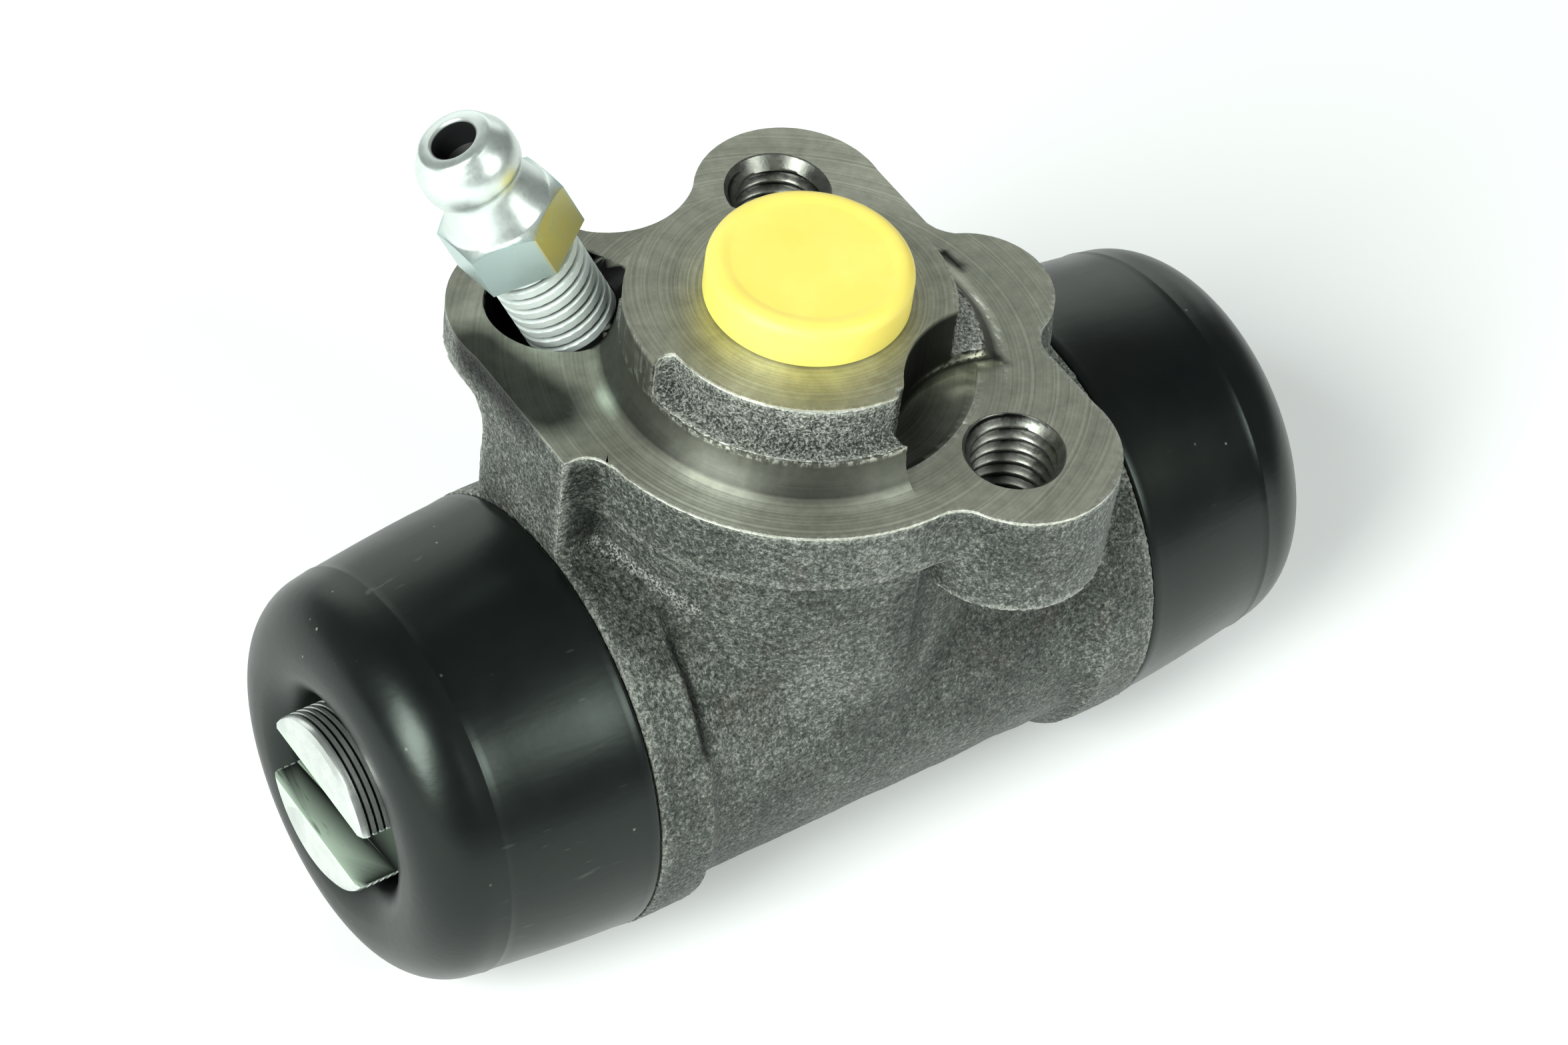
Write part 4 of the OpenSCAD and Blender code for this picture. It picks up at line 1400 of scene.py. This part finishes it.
@dataclass
class SlottedPiston:
    """One piston: skirt in the bore, turned tip with rings, and the shoe slot."""

    finishes: Finishes
    side: Side
    inner: float = 12.05
    shoulder: float = 22.45
    end: float = 33.65
    skirt_r: float = 8.68
    tip_r: float = 5.65
    slot_w: float = 4.6
    slot_depth: float = 7.0
    slot_bevel: float = 0.12
    slot_corner: float = math.radians(35.0)
    edge: float = 0.4
    ring_pitch: float = 0.46
    ring_count: int = 5
    ring_depth: float = 0.11
    ring_cut: tuple[float, float, float] = (0.05, 0.15, 0.22)
    steps: int = 128

    @property
    def slot_floor(self) -> float:
        """How far out the slot's floor is."""
        return self.end - self.slot_depth

    def profile(self) -> Profile:
        """Gives the piston's outline from its inner face to its tip.

        Returns:
            Points as (distance, radius).
        """
        e, tip = self.edge, self.tip_r
        line = [(self.inner, 0.0), (self.inner, self.skirt_r - e), (self.inner + e, self.skirt_r),
                (self.shoulder - e, self.skirt_r), (self.shoulder, self.skirt_r - e),
                (self.shoulder, tip)]
        first = self.end - e - self.ring_pitch * self.ring_count
        down, along, up = self.ring_cut
        for i in range(self.ring_count):
            u = first + self.ring_pitch * i
            low = tip - self.ring_depth
            line += [(u, tip), (u + down, low), (u + along, low), (u + up, tip)]
        return line + [(self.end - e, tip), (self.end - e * 0.45, tip - e * 0.25), (self.end, tip - e),
                       (self.end, tip * 0.55), (self.end, 0.0)]

    def slot_cutter(self) -> bpy.types.Object:
        """Builds the block that mills the shoe slot.

        Returns:
            The block, from the slot's floor to well past the tip.
        """
        bm = bmesh.new()
        bmesh.ops.create_cube(bm, size=1.0)
        size = Matrix.Diagonal((self.slot_w, 4.0 * self.tip_r, 2.0 * self.slot_depth, 1.0))
        place = Matrix.Translation((0.0, 0.0, self.slot_floor + self.slot_depth))
        bmesh.ops.transform(bm, matrix=place @ size, verts=bm.verts[:])
        return placed("slot_cutter", settled(bm, "slot_cutter"))

    def build(self) -> bpy.types.Object:
        """Builds the piston.

        Returns:
            The piston.
        """
        turned = Mould()
        turned.spin(self.profile(), self.steps)
        cutter = self.slot_cutter()
        milled = shaped(turned.bm, "BOOLEAN", operation="DIFFERENCE", object=cutter, solver="EXACT")
        discard(cutter)
        mould = Mould(milled)
        mould.clean()
        rims = [edge for edge in mould.bm.edges if self.is_slot_rim(edge)]
        bmesh.ops.bevel(mould.bm, geom=rims, offset=self.slot_bevel, offset_type="OFFSET",
                        affect="EDGES", segments=2, profile=0.5, material=-1, clamp_overlap=True)
        mould.clean()
        mould.layer("slot", map(self.slot_at, mould.bm.verts))
        mould.layer("groove", map(self.groove_at, mould.bm.verts))
        word, place = self.side.word, DATUM.bore(self.side)
        piston = mould.piece(f"{word}_slotted_piston", self.finishes.piston, place, sharp=30.0)
        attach(piston, f"{word}_piston_set")
        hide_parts(f"{word}_piston")
        return piston

    def slot_at(self, vert: Vert) -> float:
        """Gives 1 on the slot's walls and floor."""
        return float(abs(vert.co.x) < self.slot_w / 2.0 + 0.03 and vert.co.z > self.slot_floor - 0.05)

    def groove_at(self, vert: Vert) -> float:
        """Gives 1 at the bottom of the tip's turned rings, where painted shade goes."""
        at_bottom = abs(reach_of(vert) - self.tip_r + self.ring_depth) < 0.02
        return float(at_bottom and vert.co.z < self.end - self.edge)

    def is_slot_rim(self, edge: bmesh.types.BMEdge) -> bool:
        """Tells whether an edge is one of the slot's outer corners, which get a small bevel.

        Args:
            edge: The edge.

        Returns:
            True for such a corner.
        """
        half, foot = self.slot_w / 2.0, self.slot_floor + 0.05
        on_wall = all(abs(abs(v.co.x) - half) < 1e-3 and v.co.z > foot for v in edge.verts)
        return on_wall and len(edge.link_faces) == 2 and edge.calc_face_angle(0.0) > self.slot_corner


@dataclass
class BleedScrew:
    """The bleed screw: seat, thread, hexagon, shoulder, neck, ball and bore."""

    finishes: Finishes
    seat: float = -12.42
    seat_r: float = 1.1
    cone: float = 2.0
    root_r: float = 2.42
    crest_r: float = 2.95
    pitch: float = 0.89
    thread_rows: int = 24
    thread_flat: float = 0.06
    thread_gain: float = 2.3
    thread_from: float = -2.2
    runout: float = 0.5
    hex_from: float = 5.5
    hex_top: float = 8.9
    hex_af: float = 7.0
    hex_chamfer: float = 0.32
    flare: tuple[tuple[float, float], ...] = (
        (9.05, 3.30), (9.5, 3.10), (10.0, 2.92), (10.6, 2.72), (11.1, 2.57), (11.45, 2.50),
        (11.62, 2.52))
    bulb: tuple[tuple[float, float], ...] = (
        (11.72, 2.74), (11.84, 2.90), (12.05, 3.02), (12.4, 3.09), (12.9, 3.10), (13.4, 3.06),
        (13.8, 2.94), (14.2, 2.71), (14.55, 2.48), (14.72, 2.36))
    end: float = 14.95
    end_r: tuple[float, float] = (2.26, 2.12)
    bore_r: float = 1.05
    mouth_r: float = 1.40
    bore_floor: float = -9.2
    steps: int = 120
    gold_span: tuple[float, float] = (120.0, 180.0)

    def profile(self) -> Profile:
        """Gives the screw's outline from its seat, round its end and down its bore.

        Returns:
            Points as (distance, radius).
        """
        cone_end, half, end = self.seat + self.cone, self.hex_af / 2.0, self.end
        line = [(self.seat, 0.0), (self.seat, self.seat_r), (cone_end, self.crest_r - 0.05)]
        rows = steps_between(self.thread_from, self.hex_from - 0.05, self.pitch / self.thread_rows)
        line += [(z, self.crest_r) for z in (cone_end + 0.3, self.thread_from - 0.1, *rows)]
        line += [(self.hex_from, half - 0.25), (self.hex_from + 0.06, half), (self.hex_top - 1.2, half),
                 (self.hex_top, half), (self.hex_top + 0.03, half - 0.10)]
        line += [*self.flare, *self.bulb]
        line += [(end - 0.08, self.end_r[0]), (end, self.end_r[1]), (end, self.mouth_r + 0.16),
                 (end - 0.14, self.mouth_r), (end - 1.9, self.mouth_r - 0.02), (end - 2.3, self.bore_r),
                 (self.bore_floor, self.bore_r), (self.bore_floor - 0.4, 0.0)]
        return line

    def cut_thread(self, vert: Vert) -> None:
        """Moves a point of the shank onto the thread.

        Args:
            vert: The point.
        """
        shank = self.thread_from - 0.02 < vert.co.z < self.hex_from - 0.02
        if not shank or reach_of(vert) < self.root_r:
            return
        height = ridge(vert.co.z / self.pitch - turn_of(vert), self.thread_flat)
        depth = max(0.0, 1.0 - height * self.thread_gain)
        fade = held((self.hex_from - 0.1 - vert.co.z) / self.runout)
        set_reach(vert, self.root_r + (self.crest_r - self.root_r) * (1.0 - depth) * fade)

    def cut_hexagon(self, vert: Vert) -> None:
        """Moves a point of the head onto the hexagon, lower at its corners because of the chamfer.

        Args:
            vert: The point.
        """
        half, reach = self.hex_af / 2.0, reach_of(vert)
        if not self.hex_from - 0.01 <= vert.co.z <= self.hex_top + 0.005 or reach < half - 0.3:
            return
        angle = math.atan2(vert.co.y, vert.co.x) % (TURN / 6.0)
        side = half / math.cos(angle - TURN / 12.0)
        if vert.co.z > self.hex_top - 0.1:
            corner = (side - half) / (half * (1.0 / math.cos(TURN / 12.0) - 1.0))
            vert.co.z -= self.hex_chamfer * corner
        set_reach(vert, side + (reach - half))

    def build(self) -> bpy.types.Object:
        """Builds the screw.

        Returns:
            The screw.
        """
        mould = Mould()
        mould.spin(self.profile(), self.steps)
        for vert in mould.bm.verts:
            self.cut_thread(vert)
            self.cut_hexagon(vert)
        bmesh.ops.recalc_face_normals(mould.bm, faces=mould.bm.faces[:])
        for name, value in (("flat", self.flat_at), ("gold", self.gold_at), ("hollow", self.hollow_at),
                            ("satin", self.satin_at)):
            mould.layer(name, map(value, mould.bm.verts))
        screw = mould.piece("bleed_screw_turned", self.finishes.zinc, DATUM.bleed(), sharp=32.0)
        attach(screw, "bleeder")
        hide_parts("bleed_screw")
        return screw

    def flat_at(self, vert: Vert) -> float:
        """Gives 1 on the hexagon's flats."""
        on_hex = self.hex_from - 0.01 < vert.co.z < self.hex_top + 0.005
        return float(on_hex and reach_of(vert) > self.hex_af / 2.0 - 0.05)

    def satin_at(self, vert: Vert) -> float:
        """Gives 1 on the shank."""
        return float(vert.co.z < self.hex_from - 0.05)

    def hollow_at(self, vert: Vert) -> float:
        """Gives 1 in the bore and, less strongly, at the thread's root, where painted shade goes.

        Args:
            vert: The point.

        Returns:
            From 0 to 1.
        """
        reach = reach_of(vert)
        if reach < self.mouth_r + 0.02 and vert.co.z > self.bore_floor - 1.0:
            return 1.0
        if self.thread_from < vert.co.z < self.hex_from - 0.1:
            return held((self.crest_r - 0.10 - reach) / 0.25, 0.0, 0.95)
        return 0.0

    def gold_at(self, vert: Vert) -> float:
        """Gives the straw tint on one flat of the hexagon.

        Args:
            vert: The point.

        Returns:
            1 on that flat.
        """
        angle = math.degrees(math.atan2(vert.co.y, vert.co.x)) % 360.0
        low, high = self.gold_span
        return self.flat_at(vert) if low < angle < high else 0.0


@dataclass
class PortPlug:
    """The yellow transport plug in the port."""

    finishes: Finishes
    base: float = 5.34
    head_r: float = 6.125
    head_t: float = 2.8
    rounding: float = 0.8
    dish_r: float = 4.9
    dish: float = 0.10
    stem_r: float = 4.42
    stem_len: float = 7.5
    wall: float = 1.0
    swell_scale: float = 0.4
    swell_h: float = 0.03
    steps: int = 144

    def profile(self) -> Profile:
        """Gives the plug's outline from its hollow, round its foot and up over its head.

        Returns:
            Points as (distance, radius).
        """
        top, foot = self.base + self.head_t, self.base - self.stem_len
        roof, hollow_r = top - self.wall - 0.4, self.stem_r - self.wall
        line = [(roof, 0.0), (roof, hollow_r), (foot, hollow_r), (foot, self.stem_r - 0.25),
                (foot + 0.25, self.stem_r), (self.base, self.stem_r), (self.base, self.head_r - 0.12),
                (self.base + 0.12, self.head_r)]
        line += arc(top - self.rounding, self.head_r - self.rounding, self.rounding, 90.0, 0.0, 10)
        return line + [(top, self.dish_r + 0.16), (top - self.dish * 0.8, self.dish_r - 0.05),
                       (top - self.dish, self.dish_r - 0.3), (top - self.dish * 0.6, self.dish_r * 0.5),
                       (top - self.dish * 0.5, 0.0)]

    def build(self) -> bpy.types.Object:
        """Builds the plug.

        Returns:
            The plug.
        """
        mould = Mould()
        mould.spin(self.profile(), self.steps)
        for vert in mould.bm.verts:
            if vert.co.z > self.base + self.head_t - self.rounding:
                vert.co.z += noise.noise(vert.co * self.swell_scale) * self.swell_h
        plug = mould.piece("port_plug_moulded", self.finishes.plug, DATUM.spigot(), sharp=40.0)
        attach(plug, "cylinder")
        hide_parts("port_plug")
        return plug


@dataclass
class ReturnSpring:
    """The coil between the cups, in two halves, one on each side of the barrel's middle."""

    finishes: Finishes
    half: float = 9.13
    wire_r: float = 0.45
    coil_r: float = 4.7
    closed_rise: float = 0.92
    open_turns: float = 3.0
    wire_sides: int = 12
    turn_steps: int = 40

    def build(self) -> list[bpy.types.Object]:
        """Builds both halves."""
        return [self.coil(side) for side in Side]

    def coil(self, side: Side) -> bpy.types.Object:
        """Builds one half, from the barrel's middle outward.

        Args:
            side: The end that it faces.

        Returns:
            The half coil.
        """
        mould = Mould()
        bm = mould.bm
        open_rise = self.half - self.wire_r - self.closed_rise
        place = Matrix.Translation((self.coil_r, 0.0, 0.0)) @ Matrix.Rotation(math.pi / 2.0, 4, "X")
        bmesh.ops.create_circle(bm, cap_ends=True, segments=self.wire_sides, radius=self.wire_r,
                                matrix=place)
        geom: list = bm.faces[:]
        for turns, rise in ((self.open_turns, open_rise), (1.0, self.closed_rise)):
            count = int(self.turn_steps * turns)
            made = bmesh.ops.spin(bm, geom=geom, cent=(0.0, 0.0, 0.0), axis=(0.0, 0.0, 1.0),
                                  dvec=(0.0, 0.0, rise / count), angle=TURN * turns, steps=count,
                                  use_merge=False, use_duplicate=False)
            geom = [g for g in made["geom_last"] if isinstance(g, bmesh.types.BMFace)]
        mould.clean()
        word, bore = side.word, DATUM.bore(side)
        coil = mould.piece(f"return_spring_{word}_half", self.finishes.spring, bore, sharp=50.0)
        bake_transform(coil)
        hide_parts("return_spring")
        return coil


@dataclass
class InnerStack:
    """Cups and expanders, whose solids already have the right shape."""

    finishes: Finishes

    def dress(self) -> list[bpy.types.Object]:
        """Gives each solid its finish.

        Returns:
            The dressed solids.
        """
        dressed = []
        for side in Side:
            for kind, material in (("cup", self.finishes.cup), ("expander", self.finishes.spring)):
                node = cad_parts[f"{side.word}_{kind}"]
                if not node.material_slots:
                    node.data.materials.append(material)
                for slot in node.material_slots:
                    slot.material = material
                dressed.append(node)
        return dressed


@dataclass(frozen=True)
class Lamp:
    """A soft rectangular light aimed at the part."""

    name: str
    place: tuple[float, float, float]
    size: tuple[float, float]
    power: float
    colour: tuple[float, float, float] = (0.95, 1.0, 0.965)
    aim: tuple[float, float, float] = (-0.005, 0.0, -0.015)

    def build(self) -> None:
        """Builds the light."""
        data = bpy.data.lights.new(self.name, "AREA")
        data.shape = "RECTANGLE"
        data.size, data.size_y = self.size
        data.energy = self.power
        data.color = self.colour
        lamp = placed(self.name, data)
        lamp.location = self.place
        toward = Vector(self.aim) - Vector(self.place)
        lamp.rotation_euler = toward.to_track_quat("-Z", "Y").to_euler()


@dataclass
class Studio:
    """Pale floor, soft light and the camera at the photograph's angle."""

    floor_z: float = -0.03678
    floor_half: float = 1.6
    floor_low: Colour = (0.90, 0.91, 0.91, 1.0)
    floor_high: Colour = (0.93, 0.935, 0.935, 1.0)
    floor_scale: float = 6.0
    glow: float = 0.12
    glow_colour: Colour = (0.95, 1.0, 0.985, 1.0)
    ambient: float = 0.17
    surround: Colour = (0.94, 1.0, 0.97, 1.0)
    lamps: tuple[Lamp, ...] = (
        Lamp("left_window", (-0.59, -0.17, 0.42), (0.32, 0.46), 8.0),
        Lamp("front_fill", (0.075, -0.199, 0.149), (0.10, 0.10), 0.33),
        Lamp("backdrop", (0.42, 0.80, 0.28), (1.40, 0.56), 3.2))
    lens: float = 110.386
    sensor: float = 36.0
    sight: tuple[float, float] = (0.01, 20.0)
    place: tuple[float, float, float] = (-0.1346983, -0.1539711, 0.2005584)
    right: tuple[float, float, float] = (0.826131, -0.555229, 0.096062)
    up: tuple[float, float, float] = (0.356081, 0.646544, 0.674675)
    back: tuple[float, float, float] = (-0.436708, -0.523164, 0.731837)

    def build(self) -> None:
        """Builds the studio."""
        self.floor()
        self.light()
        self.camera()
        bpy.context.scene.view_settings.view_transform = "Standard"

    def floor(self) -> None:
        """Builds the floor."""
        bm = bmesh.new()
        bmesh.ops.create_grid(bm, x_segments=2, y_segments=2, size=self.floor_half)
        bmesh.ops.translate(bm, vec=(0.0, 0.0, self.floor_z), verts=bm.verts[:])
        mesh = settled(bm, "floor")
        g = Graph("pale_floor")
        stops = ((0.3, self.floor_low), (0.7, self.floor_high))
        g.set(Base_Color=g.ramp(g.grains(self.floor_scale), stops))
        g.set(Roughness=0.9, Specular_IOR_Level=0.1)
        g.set(Emission_Color=self.glow_colour, Emission_Strength=self.glow)
        mesh.materials.append(g.material)
        floor = placed("floor", mesh)

    def light(self) -> None:
        """Builds the lights and the even white surround."""
        world = bpy.data.worlds.new("surround")
        world.use_nodes = True
        bpy.context.scene.world = world
        background = world.node_tree.nodes["Background"]
        background.inputs["Color"].default_value = self.surround
        background.inputs["Strength"].default_value = self.ambient
        for lamp in self.lamps:
            lamp.build()

    def camera(self) -> None:
        """Builds the camera."""
        data = bpy.data.cameras.new("camera")
        data.lens = self.lens
        data.sensor_width = self.sensor
        data.sensor_fit = "HORIZONTAL"
        data.clip_start, data.clip_end = self.sight
        camera = placed("camera", data)
        turn = Matrix((self.right, self.up, self.back)).transposed().to_4x4()
        camera.matrix_world = Matrix.Translation(self.place) @ turn
        bpy.context.scene.camera = camera


def report(made: bpy.types.Object | Iterable[bpy.types.Object]) -> None:
    """Logs the size of each piece."""
    for piece in [made] if isinstance(made, bpy.types.Object) else made:
        LOG.info("%s: %d faces", piece.name, len(piece.data.polygons))


def main() -> None:
    logging.basicConfig(level=logging.INFO, format="%(name)s: %(message)s")
    finishes = Finishes()
    Studio().build()
    report(CastBody(finishes).build())
    for side in Side:
        report(DustBoot(finishes, side).build())
        report(SlottedPiston(finishes, side).build())
    report(ReturnSpring(finishes).build())
    report(InnerStack(finishes).dress())
    report(BleedScrew(finishes).build())
    report(PortPlug(finishes).build())


if __name__ == "__main__":
    main()
